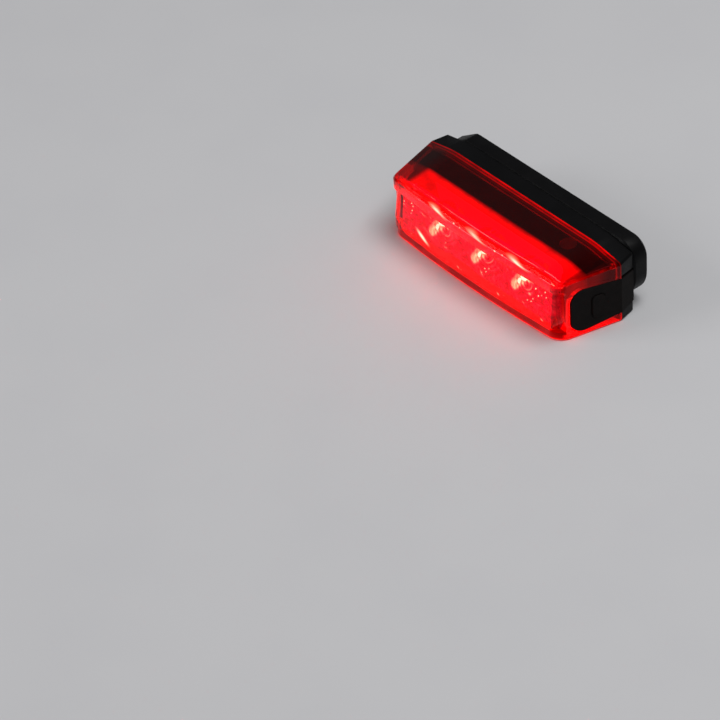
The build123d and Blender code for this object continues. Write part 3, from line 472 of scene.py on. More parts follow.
@dataclass(frozen=True)
class SolderMask(Finish):
    """Printed circuit board: lacquer over copper tracks, which stand up a little and look paler."""

    track: float = 0.8

    def tone(self, tree: Tree, place: Socket) -> Field:
        """Copper tracks as the joints of an upright brick pattern.

        Args:
            tree: Tree that gets the nodes.
            place: Coordinates in metres.

        Returns:
            Level of the tracks.
        """
        turn = (math.pi / 2, 0.0, 0.0)
        flat = add_node(tree, "ShaderNodeMapping", {"Vector": place, "Rotation": turn})
        row = self.track / 1000.0
        bricks = add_node(
            tree,
            "ShaderNodeTexBrick",
            {
                "Vector": flat.outputs[0],
                "Scale": 1.0,
                "Mortar Size": row / 5.0,
                "Brick Width": row * 4.0,
                "Row Height": row,
            },
        )
        return Field(tree, bricks.outputs["Fac"]) * self.share

    def height(self, tree: Tree, place: Socket) -> Field:
        """The tracks stand up under the lacquer."""
        return self.tone(tree, place) + 0.3


@dataclass(frozen=True)
class CellFoam(Finish):
    """Closed-cell foam: round pits of many sizes."""

    def height(self, tree: Tree, place: Socket) -> Field:
        """Pits as the cells of a Voronoi pattern."""
        cells = add_node(
            tree, "ShaderNodeTexVoronoi", {"Vector": place, "Scale": per_metre(self.grain)}
        )
        return Field(tree, cells.outputs["Distance"])


@dataclass(frozen=True)
class ClearPlastic(Finish):
    """Clear acrylic or silicone, polished, with a trace of flow ripple."""

    ior: float = 1.49
    glow: float = 0.0
    glow_colour: str = "ff6a5a"

    def extras(self, tree: Tree, place: Socket) -> dict[str, Any]:
        """Lets light through, and gives out the stray light that it carries."""
        return {
            "Transmission Weight": 1.0,
            "IOR": self.ior,
            "Emission Color": linear(self.glow_colour),
            "Emission Strength": self.glow,
        }


@dataclass(frozen=True)
class Glint:
    """A bright streak where the lens's edge bends the light of an LED towards the eye.

    Attributes:
        centre: Middle in drawn millimetres.
        radii: Half sizes along x, y and z before turning.
        turn: Turn about y in degrees, positive lowers the +x end.
        level: Brightness against the other glints.
    """

    centre: tuple[float, float, float]
    radii: tuple[float, float, float]
    turn: float = 0.0
    level: float = 1.0

    def field(self, tree: Tree, place: Socket) -> Field:
        """Brightness over the surface: a soft ball, squeezed and turned.

        Args:
            tree: Tree that gets the nodes.
            place: Drawn millimetres.

        Returns:
            Level at the middle, falling to 0 at the edge.
        """
        moved = add_node(
            tree,
            "ShaderNodeMapping",
            {
                "Vector": place,
                "Location": self.centre,
                "Rotation": (0.0, math.radians(self.turn), 0.0),
                "Scale": self.radii,
            },
            vector_type="TEXTURE",
        )
        ball = add_node(
            tree, "ShaderNodeTexGradient", {"Vector": moved.outputs[0]}, gradient_type="SPHERICAL"
        )
        return Field(tree, ball.outputs["Fac"]) * self.level


@dataclass(frozen=True)
class LitLens(Finish):
    """Polished red polycarbonate, tinted in the mass, that carries the LEDs' light in its walls.

    The light that the real wall guides from the LEDs is given here as emission that depends on the
    place alone: full in front of the chassis, weak over it, with a bright cut edge at the seam.
    Shade is painted as well, as a darker red and as less of that light, on the window's frame and
    other places. The two numbers of each step are where, in drawn millimetres, a level begins and
    ends its change.

    Attributes:
        skin: Tint of the straight reflection, which keeps a pale surround off the red.
        mottle: Size of the soft unevenness of the light in millimetres.
        bow: Radius R of the front's bow, seen from above, in millimetres.
        stray: Least level anywhere.
    """

    glow: float = 0.55
    glints: tuple[Glint, ...] = ()
    glint_strength: float = 2.5
    hues: Ramp = (
        (0.0, (1.0, 0.0, 0.0)), (0.25, (1.0, 0.12, 0.07)), (0.7, (1.0, 0.5, 0.34)),
    )
    ior: float = 1.58
    skin: tuple[float, float, float, float] = (0.2, 0.02, 0.02, 1.0)
    mottle: float = 5.0
    bow: float = 392.0
    stray: float = 0.01

    def drawn(self, tree: Tree, place: Socket) -> Socket:
        """Drawn millimetres, from the object coordinates in metres."""
        inputs = {0: place, 1: (1000.0, 1000.0, 1000.0), 2: tuple(-DRAWN_ORIGIN)}
        return add_node(tree, "ShaderNodeVectorMath", inputs, operation="MULTIPLY_ADD").outputs[0]

    def axes(self, tree: Tree, place: Socket) -> list[Field]:
        """Drawn x, y and z as fields."""
        split = add_node(tree, "ShaderNodeSeparateXYZ", {0: self.drawn(tree, place)})
        return [Field(tree, output) for output in split.outputs]

    def tone(self, tree: Tree, place: Socket) -> Field:
        """Where shade is painted as a darker red: where the wall is thick along the line of sight,
        on the window's frame, on the far top corner, over the black chassis and behind the boot.

        Args:
            tree: Tree that gets the nodes.
            place: Coordinates in metres.

        Returns:
            Level of the painted shade.
        """
        x, y, z = self.axes(tree, place)
        # Painted shade on the far top corner and, fainter, on the wall over the black chassis
        corner = x.rise(-27.0, -30.0) * z.rise(6.5, 8.0)
        rear = y.rise(-10.5, -8.5) * z.rise(-6.5, -5.0) * 0.6
        frame = self.shaded_ledge(x, y, z).most(self.shaded_pillar(x, y, z)).most(self.lines(x, y))
        return frame.most(corner).most(rear).most(self.near_end(x, y, z)) * self.share

    def shaded_pillar(self, x: Field, y: Field, z: Field) -> Field:
        """Upright frame of the window at the button's end, where shade is painted."""
        return z.rise(-8.2, -7.6) * z.rise(8.4, 7.4) * x.rise(29.9, 30.5) * y.rise(-15.5, -16.2)

    def near_end(self, x: Field, y: Field, z: Field) -> Field:
        """End wall above the button's tongue, shaded by the boot behind it."""
        return x.rise(32.0, 33.2) * y.rise(-18.5, -16.0) * z.rise(3.6, 4.4)

    def shaded_ledge(self, x: Field, y: Field, z: Field) -> Field:
        """Window's lower frame on the skin, where shade is painted; bowed by x^2 / (2 R) and
        climbing at the far end.
        """
        bowed, lowered = y + x * x * (-0.5 / self.bow), z + x.rise(-26.5, -32.5, 0.0, -3.4)
        return lowered.rise(-6.9, -7.1) * z.rise(-9.3, -8.8) * bowed.rise(-17.6, -18.4)

    def lines(self, x: Field, y: Field) -> Field:
        """Upright bands of painted shade at the far end, where the rounded corner repeats the
        window's edge.
        """
        wave = (x * 5.2).sine().rise(0.0, 0.9)
        return wave * x.rise(-31.0, -32.0) * y.rise(-13.0, -15.0) * 0.8

    def walls(self, x: Field, y: Field, z: Field) -> Field:
        """Light in the walls, from 0 to 1: the largest of what each part of them carries.

        Args:
            x: Drawn x.
            y: Drawn y.
            z: Drawn z.

        Returns:
            The level.
        """
        height_of_window = z.rise(-7.25, -6.95) * z.rise(6.1, 5.7)
        window = height_of_window * y.rise(-14.0, -15.0) * x.size().rise(31.7, 30.9)
        # Far top corner, where shade is painted as less light
        corner = z.rise(6.8, 7.6) * x.rise(-26.0, -28.5)
        front = y.rise(-9.1, -10.1)
        # Less light in the window, and painted shade as less light on its frame, the bands, the far
        # top corner and the end behind the boot
        for place, left_over in (
            (window, 0.12), (self.shaded_pillar(x, y, z), 0.15), (self.shaded_ledge(x, y, z), 0.1),
            (corner, 0.1), (self.near_end(x, y, z), 0.3), (self.lines(x, y), 0.3),
        ):
            front = front * place.rise(0.0, 1.0, 1.0, left_over)
        foot = z.rise(-8.8, -9.2) * x.rise(-30.0, 12.0, 0.25, 1.0)
        strip = y.rise(-2.3, -1.9) * y.rise(-0.62, -0.8) * z.rise(4.0, 5.0) * 0.06
        turned = x.rise(34.5, 36.2) * z.rise(-6.0, -4.0)
        cut_edge = y.rise(-0.5, -0.3) * x.rise(-38.0, -5.0, 0.4, 1.0)
        cut_edge = cut_edge * turned.rise(0.0, 1.0, 1.0, 0.2)
        near = x.rise(33.0, 34.0) * y.rise(-1.0, -14.0, 0.04, 0.25)
        far = x.rise(-33.0, -34.0) * y.rise(-12.0, -18.0, 0.06, 0.3)
        ends = near.most(far) * z.rise(9.3, 8.8)
        return front.most(foot).most(strip).most(cut_edge).most(ends).most(self.stray)

    def extras(self, tree: Tree, place: Socket) -> dict[str, Any]:
        """Lets light through and adds the light in the walls.

        Args:
            tree: Tree of the material.
            place: Coordinates in metres.

        Returns:
            Inputs of the shader.
        """
        uneven = noise(tree, place, self.mottle).rise(*NOISE_RANGE, 0.7, 1.25)
        level = self.walls(*self.axes(tree, place)) * uneven
        drawn = self.drawn(tree, place)
        hot = self.glints[0].field(tree, drawn)
        for glint in self.glints[1:]:
            hot = hot.most(glint.field(tree, drawn))
        strength = level * self.glow + hot * self.glint_strength
        return {
            "Transmission Weight": 1.0,
            "IOR": self.ior,
            "Specular Tint": self.skin,
            "Emission Color": colour_ramp(tree, hot.socket, self.hues),
            "Emission Strength": strength.socket,
        }


@dataclass(frozen=True)
class LitOptic(Finish):
    """Acrylic front of the collimators, filled with the LEDs' light.

    The mesh attribute `led_light` gives the light at each point, from the dim crimson between the
    eyes to the white of the dies; the hues are those of the light before the red lens.
    """

    strength: float = 34.0
    hues: Ramp = (
        (0.0, (0.011, 0.0, 0.001)), (0.25, (0.048, 0.0, 0.012)), (0.45, (0.069, 0.022, 0.030)),
        (0.65, (0.13, 0.15, 0.08)), (0.85, (0.45, 0.47, 0.22)), (1.0, (1.0, 1.0, 0.62)),
    )

    def extras(self, tree: Tree, place: Socket) -> dict[str, Any]:
        """Adds the light."""
        heat = add_node(tree, "ShaderNodeAttribute", attribute_name="led_light").outputs["Fac"]
        colour = colour_ramp(tree, heat, self.hues)
        return {"Emission Color": colour, "Emission Strength": self.strength}


@dataclass(frozen=True)
class LitDie(Finish):
    """Silicone over a lit die: hot in the middle, warm towards the rim."""

    strength: float = 0.8

    def extras(self, tree: Tree, place: Socket) -> dict[str, Any]:
        """Adds the light."""
        level = self.tone(tree, place) * self.strength + self.strength
        return {"Emission Color": linear(self.pale), "Emission Strength": level.socket}


# Sub-assemblies


@dataclass
class Screw:
    """Socket-head screw: a revolved profile with a hexagon recess and a helical thread.

    Attributes:
        head_radius: Radius of the head.
        head_height: Height of the head.
        shank_radius: Outer radius of the thread.
        length: Whole length.
        pitch: Rise of the thread per turn.
    """

    head_radius: float
    head_height: float
    shank_radius: float
    length: float
    pitch: float

    def surface(self, x: float, z: float, back: float) -> tuple[Array, Array]:
        """Points and faces of one screw that points towards -y.

        The profile runs from the middle of the recess out over the head and along the shank to the
        tip. In the recess the radius is that of a hexagon, a / cos(angle to the flat's middle), and
        on the shank it swings with the cosine of angle + 2 pi depth / pitch.

        Args:
            x: Drawn x of the axis.
            z: Drawn z of the axis.
            back: Drawn y of the head's top.

        Returns:
            Corners and faces.
        """
        columns = 48
        angle = np.arange(columns) * 2 * np.pi / columns
        hexagon = 0.5 * self.head_radius / np.cos((angle % (np.pi / 3)) - np.pi / 6)
        one = np.ones(columns)
        head, top, edge = self.head_radius, self.head_height, 0.12 * self.head_radius
        rows = [
            (0 * one, 0.6 * top), (0.3 * hexagon, 0.6 * top), (0.97 * hexagon, 0.6 * top),
            (hexagon, 0.55 * top), (hexagon, 0.06 * top), (1.06 * hexagon, 0.0),
            ((head - edge) * one, 0.0), ((head - 0.3 * edge) * one, 0.3 * edge),
            (head * one, edge), (head * one, 0.95 * top), ((head - 0.05 * top) * one, top),
            (self.shank_radius * one, top),
        ]
        depths = np.arange(top + 0.3, self.length - 0.5 * self.shank_radius, self.pitch / 8)
        for depth in depths:
            swing = 0.5 + 0.5 * np.cos(angle + 2 * np.pi * depth / self.pitch)
            rows.append((self.shank_radius * (1 - 0.14 * swing), depth))
        rows += [(0.5 * self.shank_radius * one, self.length), (0 * one, self.length)]
        radius = np.array([r for r, _ in rows])
        depth = np.array([d for _, d in rows])[:, None] * one
        points = np.stack(
            [x + radius * np.cos(angle), back - depth, z + radius * np.sin(angle)], axis=-1
        )
        return points.reshape(-1, 3), grid_faces(len(rows), columns, wrap=True)

    def piece(self, name: str, places: Sequence[tuple[float, float]], back: float) -> Object:
        """Makes all the screws of one kind as one piece.

        Args:
            name: Name of the piece.
            places: Drawn x and z of each axis.
            back: Drawn y of the heads' tops.

        Returns:
            The piece.
        """
        parts = [self.surface(x, z, back) for x, z in places]
        points = np.concatenate([p for p, _ in parts])
        faces = np.concatenate([f + i * len(parts[0][0]) for i, (_, f) in enumerate(parts)])
        return make_piece(name, points, faces, 28.0)


@dataclass(frozen=True)
class Bell:
    """A soft oval of light: exp of minus the squared distance in a turned, stretched frame.

    Attributes:
        x: Middle, from the origin or from the hot point of its eye.
        z: Likewise.
        along: Half length.
        across: Half width.
        turn: Direction of the length, in degrees from +x.
        level: Level in the middle.
        most: Cap, which gives a bright bell a flat top.
    """

    x: float
    z: float
    along: float
    across: float
    turn: float = 0.0
    level: float = 1.0
    most: float = math.inf

    def over(self, x: Array, z: Array) -> Array:
        """Level at each point.

        Args:
            x: x of the points.
            z: z of the points.

        Returns:
            The level.
        """
        c, s = math.cos(math.radians(self.turn)), math.sin(math.radians(self.turn))
        u = ((x - self.x) * c + (z - self.z) * s) / self.along
        v = ((z - self.z) * c - (x - self.x) * s) / self.across
        return np.minimum(self.level * np.exp(-(u * u + v * v)), self.most)


# Where each die shows through its collimator, drawn x and z
HOT_POINTS = ((-14.4, 2.3), (2.3, 2.3), (18.1, 2.7))

# Parts of an eye from its hot point: die, second spot, long petal, its root and short petal
EYE_SPOTS = (
    Bell(0.1, 0.1, 1.5, 1.05, 30.0, 2.2, 1.4),
    Bell(-1.5, -1.9, 1.3, 0.6, 65.0, 1.8, 1.1),
    Bell(-3.3, -4.0, 3.3, 1.5, 54.0, 1.25, 0.74),
    Bell(-1.3, -1.5, 2.9, 2.0, 50.0, 1.1, 0.66),
    Bell(1.8, 0.2, 1.7, 0.8, -20.0, 1.0, 0.72),
)
EYE_STREAKS = Bell(-2.4, -2.8, 3.6, 2.6, 54.0, 0.08)
EYE_NOTCH = Bell(-0.2, -3.4, 1.1, 0.5, -35.0, 0.22)

# Soft light over the middle of the optic, small sparks of its prisms, and thin streaks of its webs
MIDDLE = Bell(6.0, 0.5, 24.0, 5.0, 0.0, 0.05)
SPARKS = tuple(
    Bell(x, z, 0.42, 0.27, 60.0, 1.3 * level)
    for x, z, level in (
        (-29.8, 1.4, 0.75), (-30.0, 0.4, 0.6), (-29.6, 0.4, 0.5), (-26.6, 2.5, 0.75),
        (-26.0, 1.8, 0.7), (-26.4, 0.2, 0.75), (-26.8, -0.9, 0.6), (22.4, 1.2, 0.8),
        (23.3, -0.7, 0.85), (26.5, 3.5, 0.7), (26.0, 2.0, 0.75), (26.4, 0.5, 0.7),
        (19.4, -4.1, 0.75), (20.7, -3.9, 0.75), (2.6, -3.4, 0.8), (2.8, -4.5, 0.75),
        (3.9, -2.9, 0.7), (1.1, -5.6, 0.6), (-30.6, 2.0, 0.7), (24.6, 0.2, 0.6),
        (21.4, -2.6, 0.7), (-13.2, -3.5, 0.6), (-14.0, -4.6, 0.5),
    )
)
STREAKS = (
    Bell(-22.1, 0.9, 2.0, 0.224, -13.0, 0.75), Bell(-19.0, 1.7, 1.0, 0.196, -10.0, 0.675),
    Bell(20.4, -1.4, 0.9, 0.7, 20.0, 0.75), Bell(-13.9, -5.9, 1.0, 0.28, -35.0, 0.825),
    Bell(0.9, -5.9, 1.3, 0.28, -65.0, 0.825), Bell(-5.5, 1.0, 2.0, 0.224, 15.0, 0.675),
    Bell(17.3, -6.2, 0.8, 0.28, -50.0, 0.75), Bell(9.5, 1.2, 1.6, 0.21, 12.0, 0.63),
)


@dataclass
class LensAssembly:
    """Red lens shell, the row of collimators behind its window and their LEDs."""

    frame: dict[str, Any]
    front: float = -15.3
    back: float = -15.2
    half_length: float = 30.3
    top: float = 6.4
    bottom: float = -7.2
    step: float = 0.16
    led_pitch: float = 16.9
    led_height: float = -0.4
    eye_radius: float = 6.3
    eye_crown: float = 0.8
    prism_start: float = 23.4
    prism_pitch: float = 0.9
    prism_depth: float = 0.14
    darkest: float = 0.07
    glints: tuple[Glint, ...] = (
        Glint((-12.4, -19.2, 9.15), (5.2, 1.6, 0.75), 9.0, 0.78),
        Glint((-10.6, -19.4, 8.4), (2.4, 1.4, 0.4), 14.0, 0.4),
        Glint((2.8, -19.2, 9.15), (5.2, 1.6, 0.75), 9.0, 0.78),
        Glint((18.4, -19.0, 9.15), (5.2, 1.6, 0.75), 9.0, 0.78),
        Glint((-5.8, -19.5, 9.0), (0.5, 1.2, 0.4), 0.0, 0.8),
        Glint((-3.4, -19.5, 8.95), (0.4, 1.2, 0.35), 0.0, 0.6),
        Glint((10.2, -19.4, 8.7), (0.6, 1.2, 0.4), 0.0, 0.8),
        Glint((13.1, -19.4, 8.9), (0.5, 1.2, 0.4), 0.0, 0.6),
        Glint((-19.5, -18.87, -3.7), (4.3, 1.1, 1.1), 27.0, 1.15),
        Glint((-4.8, -19.3, -5.1), (0.9, 0.9, 0.4), 40.0, 0.7),
        Glint((-3.6, -19.3, -5.25), (0.4, 0.8, 0.3), 0.0, 0.6),
        Glint((10.9, -19.2, -5.2), (0.9, 0.9, 0.4), 35.0, 0.8),
        Glint((13.1, -19.1, -4.5), (0.35, 0.8, 0.3), 0.0, 0.5),
        Glint((27.0, -18.4, -5.0), (0.9, 0.9, 0.4), 30.0, 0.8),
        Glint((-24.5, -18.6, -5.2), (0.4, 0.8, 0.3), 0.0, 0.55),
    )

    def relief(self, x: Array, z: Array) -> Array:
        """How far the optic's front stands forward of its flat.

        Each eye is a crown 1 - (r / R)^2 with rings 1.3 mm apart, the webs between the eyes carry
        upright ribs, and the ends carry crossed prisms. Rings, ribs and prisms are triangle waves.

        Args:
            x: Drawn x of the points.
            z: Drawn z of the points.

        Returns:
            Height in millimetres.
        """
        radius = np.min(
            [np.hypot(x - i * self.led_pitch, z - self.led_height) for i in (-1, 0, 1)], axis=0
        )
        inside = radius < self.eye_radius
        crown = self.eye_crown * np.clip(1 - (radius / self.eye_radius) ** 2, 0, None)
        rings = 0.10 * np.abs(((radius / 1.3) % 1.0) - 0.5)
        ribs = self.prism_depth * np.abs(((x / self.prism_pitch) % 1.0) - 0.5)
        prisms = ribs + self.prism_depth * np.abs(((z / self.prism_pitch) % 1.0) - 0.5)
        around = np.where(np.abs(x) > self.prism_start, prisms, ribs)
        return crown + np.where(inside, rings, around)

    def eye(self, light: Array, u: Array, v: Array) -> Array:
        """Adds one eye: spots and petals, fine streaks, ripples, part of a ring and a dark notch.

        The streaks are a bent sine wave under a bell. With r and a for distance and direction from
        the crown's middle, the ripples are cos(4.2 r + 1.1 sin(2 a + 0.6)), fading as
        exp(-(r / 4.2)^4), and the ring is a narrow bell at r = 2.1. Both are weaker on one side.

        Args:
            light: Light so far.
            u: x of the points from the eye's hot point.
            v: z of the points from the eye's hot point.

        Returns:
            The light with the eye.
        """
        for spot in EYE_SPOTS:
            light = np.maximum(light, spot.over(u, v))
        streaks = np.sin(3.9 * u - 1.9 * v + 1.6 * np.sin(1.3 * v)) * EYE_STREAKS.over(u, v)
        r, a = np.hypot(u - 0.9, v + 1.2), np.arctan2(v + 1.2, u - 0.9)
        ripples = np.cos(4.2 * r + 1.1 * np.sin(2 * a + 0.6)) * np.exp(-((r / 4.2) ** 4))
        light = light + streaks + 0.2 * ripples * (0.7 + 0.3 * np.cos(a + 0.9))
        ring = np.exp(-(((r - 2.1) / 0.3) ** 2)) * (0.7 + 0.3 * np.cos(a + 1.0))
        return np.maximum(light, 0.62 * ring) - EYE_NOTCH.over(u, v)

    def heat(self, x: Array, z: Array) -> Array:
        """Light on the optic's front, from 0 to 1.

        The ground is an even level with three waves on it, all bent by sin(0.9 z + 0.7 sin(0.5 x)),
        and a wide bell. The eyes come on it, then sparks and streaks, each where it is brighter.

        Args:
            x: Drawn x of the points.
            z: Drawn z of the points.

        Returns:
            The light.
        """
        warp = np.sin(z * 0.9 + 0.7 * np.sin(x * 0.5))
        light = 0.15 + 0.09 * np.sin(x * 2.3 + 2.0 * warp) * np.sin(z * 1.3 + x * 0.4)
        light += 0.07 * np.sin(x * 0.8 + 3.0 * warp) + MIDDLE.over(x, z)
        light += 0.08 * np.sin(5.0 * z + 2.2 * np.sin(0.9 * x + warp)) * np.sin(0.7 * x + 0.5 * z)
        for hot_x, hot_z in HOT_POINTS:
            light = self.eye(light, x - hot_x, z - hot_z)
        for spot in (*SPARKS, *STREAKS):
            light = np.maximum(light, spot.over(x, z))
        return np.maximum(light, self.darkest)

    def optic_front(self) -> Object:
        """Front of the collimators as one closed skin, with the light as a point attribute.

        Returns:
            The piece.
        """
        hair = 1e-6
        across = np.arange(-self.half_length, self.half_length + hair, self.step)
        up = np.arange(self.bottom, self.top + hair, self.step)
        x, z = np.meshgrid(across, up)
        y = self.front - self.relief(x, z)
        y[0], y[-1], y[:, 0], y[:, -1] = self.front, self.front, self.front, self.front
        face = np.stack([x, y, z], axis=-1).reshape(-1, 3)
        rows, columns = x.shape
        number = np.arange(rows * columns).reshape(rows, columns)
        rim = np.concatenate(
            [number[0, :-1], number[:-1, -1], number[-1, :0:-1], number[:0:-1, 0]]
        )
        wall = face[rim].copy()
        wall[:, 1] = self.back
        below = np.arange(len(rim)) + len(face)
        walls = np.stack([rim, below, np.roll(below, -1), np.roll(rim, -1)], axis=-1)
        faces = [*grid_faces(rows, columns).tolist(), *walls.tolist(), below.tolist()]
        piece = make_piece("optic_front", np.concatenate([face, wall]), faces, 60.0)
        heat = piece.data.attributes.new("led_light", "FLOAT", "POINT")
        place = np.empty(len(piece.data.vertices) * 3)
        piece.data.vertices.foreach_get("co", place)
        place = place.reshape(-1, 3) * 1000.0 - DRAWN_ORIGIN
        heat.data.foreach_set("value", self.heat(place[:, 0], place[:, 2]).astype(np.float32))
        return piece

    def build(self) -> None:
        """Builds and dresses the lens side."""
        # Polycarbonate, moulded and tinted in the mass: mirror-smooth skin, deep red, light in it;
        # its darker red is painted shade
        shell = LitLens(
            "red_polycarbonate_moulded", "f83c40", "640c12", share=1.0, grain=3.0, depth=0.02,
            roughness=0.04, spread=0.02, specular=0.2, glints=self.glints,
        ).build()
        # Acrylic, moulded: water-clear, here a thin skin with the light of the LEDs in it
        front = LitOptic(
            "acrylic_collimators_lit", "38020a", "50040c", cloud=2.0, grain=0.5, depth=0.01,
            roughness=0.2, spread=0.06, specular=0.1,
        ).build()
        # Acrylic, moulded: water-clear with flow ripple
        clear = ClearPlastic(
            "acrylic_moulded_clear", "fbf4f4", "f4ecec", grain=2.5, depth=0.01, roughness=0.04,
            spread=0.02,
        ).build()
        # Silicone poured over a lit die: a bright warm drop
        drop = LitDie(
            "silicone_over_lit_die", "ff9a80", "ff4a30", cloud=0.8, grain=0.4, depth=0.004,
            roughness=0.2, spread=0.08,
        ).build()
        # Alumina ceramic, pressed and fired: chalky white, slightly speckled
        ceramic = Finish(
            "alumina_ceramic_fired", "ece6da", "d8cfc0", cloud=0.9, grain=0.15, depth=0.004,
            roughness=0.55,
        ).build()
        cover = moulded_copy(self.frame, "lens_shell", "red_lens_shell", radius=0.22)
        finish(cover, shell, Body.LIGHT, "tinted shell with its lit walls")
        optic = self.optic_front()
        finish(optic, front, Body.LIGHT, "three eyes, ribs and prisms")
        dress(self.frame, ["optic_array"], clear)
        sides = ("left", "centre", "right")
        dress(self.frame, [f"led_dome_{side}" for side in sides], drop)
        dress(self.frame, [f"led_base_{side}" for side in sides], ceramic)


# Finishes of the inner pieces, by the CAD node that wears them
INNER_FINISHES = {
    # White solder mask over aluminium: glossy white lacquer, faint tracks
    "led_board": SolderMask(
        "white_solder_mask_on_aluminium", "e8e8e4", "cfd2cc", share=0.7, depth=0.03,
        roughness=0.3, track=1.0,
    ),
    # Filled silicone, calendered: soft grey sheet with a dusty skin
    "thermal_pad": Finish(
        "filled_silicone_sheet", "8f949c", "a9aeb4", cloud=1.5, grain=0.3, depth=0.02,
        roughness=0.8,
    ),
    # ABS, moulded: plain satin black
    "chassis": Finish(
        "abs_moulded_inner_frame", "19191b", "242426", grain=0.4, depth=0.01,
    ),
    # Black solder mask over glass fibre: glossy lacquer with copper tracks under it
    "main_board": SolderMask(
        "black_solder_mask_on_glass_fibre", "0f1a15", "2c4236", share=0.8, depth=0.035,
        roughness=0.3, track=0.9,
    ),
    # Nylon, moulded: satin black insulator
    "board_link": Finish("nylon_moulded_pin_block", "1c1c1d", "2c2c2e", grain=0.25, depth=0.008),
    # Epoxy, transfer-moulded: matt dark grey package
    "driver_chip": Finish(
        "epoxy_transfer_moulded", "222224", "323234", cloud=1.2, grain=0.12, depth=0.004,
        roughness=0.6,
    ),
    # Ferrite, sintered: stone grey, fine pores
    "inductor": CellFoam(
        "ferrite_sintered", "3f4043", "585a5d", cloud=1.0, grain=0.3, depth=0.02, roughness=0.6,
    ),
    # Clear epoxy over a diode: pale yellow bead
    "status_led": Finish(
        "epoxy_diode_bead", "efe2ae", "d8c27a", cloud=0.6, grain=0.3, depth=0.004,
        roughness=0.15, spread=0.05,
    ),
    # Frosted acrylic rod: milky, passes soft light
    "status_light_pipe": ClearPlastic(
        "acrylic_rod_frosted", "f0e4e4", "e4d4d4", cloud=1.0, grain=0.25, depth=0.01,
        roughness=0.4, spread=0.1, glow=0.015,
    ),
    # Stainless steel, deep-drawn: bright sheet with fine drawing lines
    "usb_shell": Finish(
        "stainless_steel_drawn", "b9b9bb", "9b9ba0", cloud=2.0, grain=0.2, depth=0.004,
        roughness=0.28, metallic=1.0, stretch=(0.15, 1.0, 1.0),
    ),
    # Aluminium laminate, cold-formed: dull silver with soft creases
    "battery": Finish(
        "aluminium_laminate_pouch", "bdbec1", "a5a7ab", cloud=5.0, grain=3.0, depth=0.08,
        roughness=0.38, metallic=1.0, stretch=(1.0, 1.0, 0.5),
    ),
    # Closed-cell foam: dull black with fine pits
    "battery_pad": CellFoam(
        "closed_cell_foam", "1d1d1d", "303030", cloud=2.0, grain=0.5, depth=0.06,
        roughness=0.95, sheen=0.2,
    ),
    # PVC, extruded: smooth red insulation
    "battery_lead_red": Finish(
        "pvc_insulation_red", "b01414", "c62a24", grain=0.3, depth=0.004, roughness=0.35,
    ),
    # PVC, extruded: smooth black insulation
    "battery_lead_black": Finish(
        "pvc_insulation_black", "1a1a1a", "2b2b2b", grain=0.3, depth=0.004, roughness=0.35,
    ),
}


@dataclass
class Electronics:
    """Boards, chips, battery, leads, socket and switch inside the light."""

    frame: dict[str, Any]

    def build(self) -> None:
        """Dresses the inner pieces."""
        built = {name: made.build() for name, made in INNER_FINISHES.items()}
        for name, material in built.items():
            dress(self.frame, [name], material)
        dress(self.frame, ["charge_chip"], built["driver_chip"])
        dress(self.frame, ["usb_tongue", "switch_body", "switch_plunger"], built["board_link"])


@dataclass
class Housing:
    """Black rear housing with its screws, power button and port flap."""

    frame: dict[str, Any]

    def build(self) -> None:
        """Builds and dresses the housing side."""
        # ABS, moulded in a spark-eroded tool: near black, fine grain that catches soft light
        abs_grain = Finish(
            "abs_moulded_spark_grain", "070708", "101012", cloud=7.0, grain=0.3, depth=0.012,
            roughness=0.42, specular=0.09,
        ).build()
        # Silicone, compression-moulded: matt brownish black, a little dusty
        silicone = Finish(
            "silicone_compression_moulded", "0c0807", "1d1614", cloud=2.2, share=0.3, grain=0.22,
            depth=0.01, roughness=0.7, specular=0.12,
        ).build()
        # Stainless steel, turned and blackened: dark satin with turning lines
        steel = Finish(
            "stainless_steel_blackened", "5a5a5d", "46464a", cloud=0.8, grain=0.15, depth=0.004,
            roughness=0.35, metallic=1.0, stretch=(1.0, 0.3, 1.0),
        ).build()
        shell = moulded_copy(self.frame, "rear_housing", "rear_housing_shell", radius=0.22)
        finish(shell, abs_grain, Body.LIGHT, "rear housing with rounded edges")
        boot = moulded_copy(self.frame, "button_boot", "button_boot_skin", radius=0.18)
        finish(boot, silicone, Body.LIGHT, "rubber tongue round the button")
        button = moulded_copy(self.frame, "power_button", "button_pad", radius=0.22, segments=3)
        finish(button, silicone, Body.BUTTON, "raised pad of the power button")
        flap = moulded_copy(self.frame, "port_flap", "port_flap_skin", radius=0.18)
        finish(flap, silicone, Body.FLAP, "flap over the charging port")
        anchor = moulded_copy(self.frame, "flap_anchor", "flap_anchor_skin", radius=0.18)
        finish(anchor, silicone, Body.LIGHT, "fixed end of the flap")
        corners = [(x, z) for x in (-25.0, 25.0) for z in (6.0, -4.8)]
        screws = Screw(
            head_radius=1.5, head_height=0.9, shank_radius=0.8, length=8.0, pitch=0.7
        ).piece("housing_screw_set", corners, back=5.2)
        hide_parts("housing_screws")
        finish(screws, steel, Body.LIGHT, "four screws under the mount plate")
        small = Screw(
            head_radius=1.1, head_height=0.8, shank_radius=0.55, length=2.4, pitch=0.45
        ).piece("board_screw_pair", [(-14.0, 5.4), (14.0, 5.4)], back=-5.3)
        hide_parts("board_screws")
        finish(small, steel, Body.LIGHT, "two screws of the main board")
        large = Screw(
            head_radius=2.2, head_height=1.4, shank_radius=1.2, length=9.0, pitch=0.9
        ).piece("mount_screw_pair", [(-31.2, 1.3), (31.2, 1.3)], back=10.3)
        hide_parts("mount_screws")
        finish(large, steel, Body.LIGHT, "two screws of the mount")


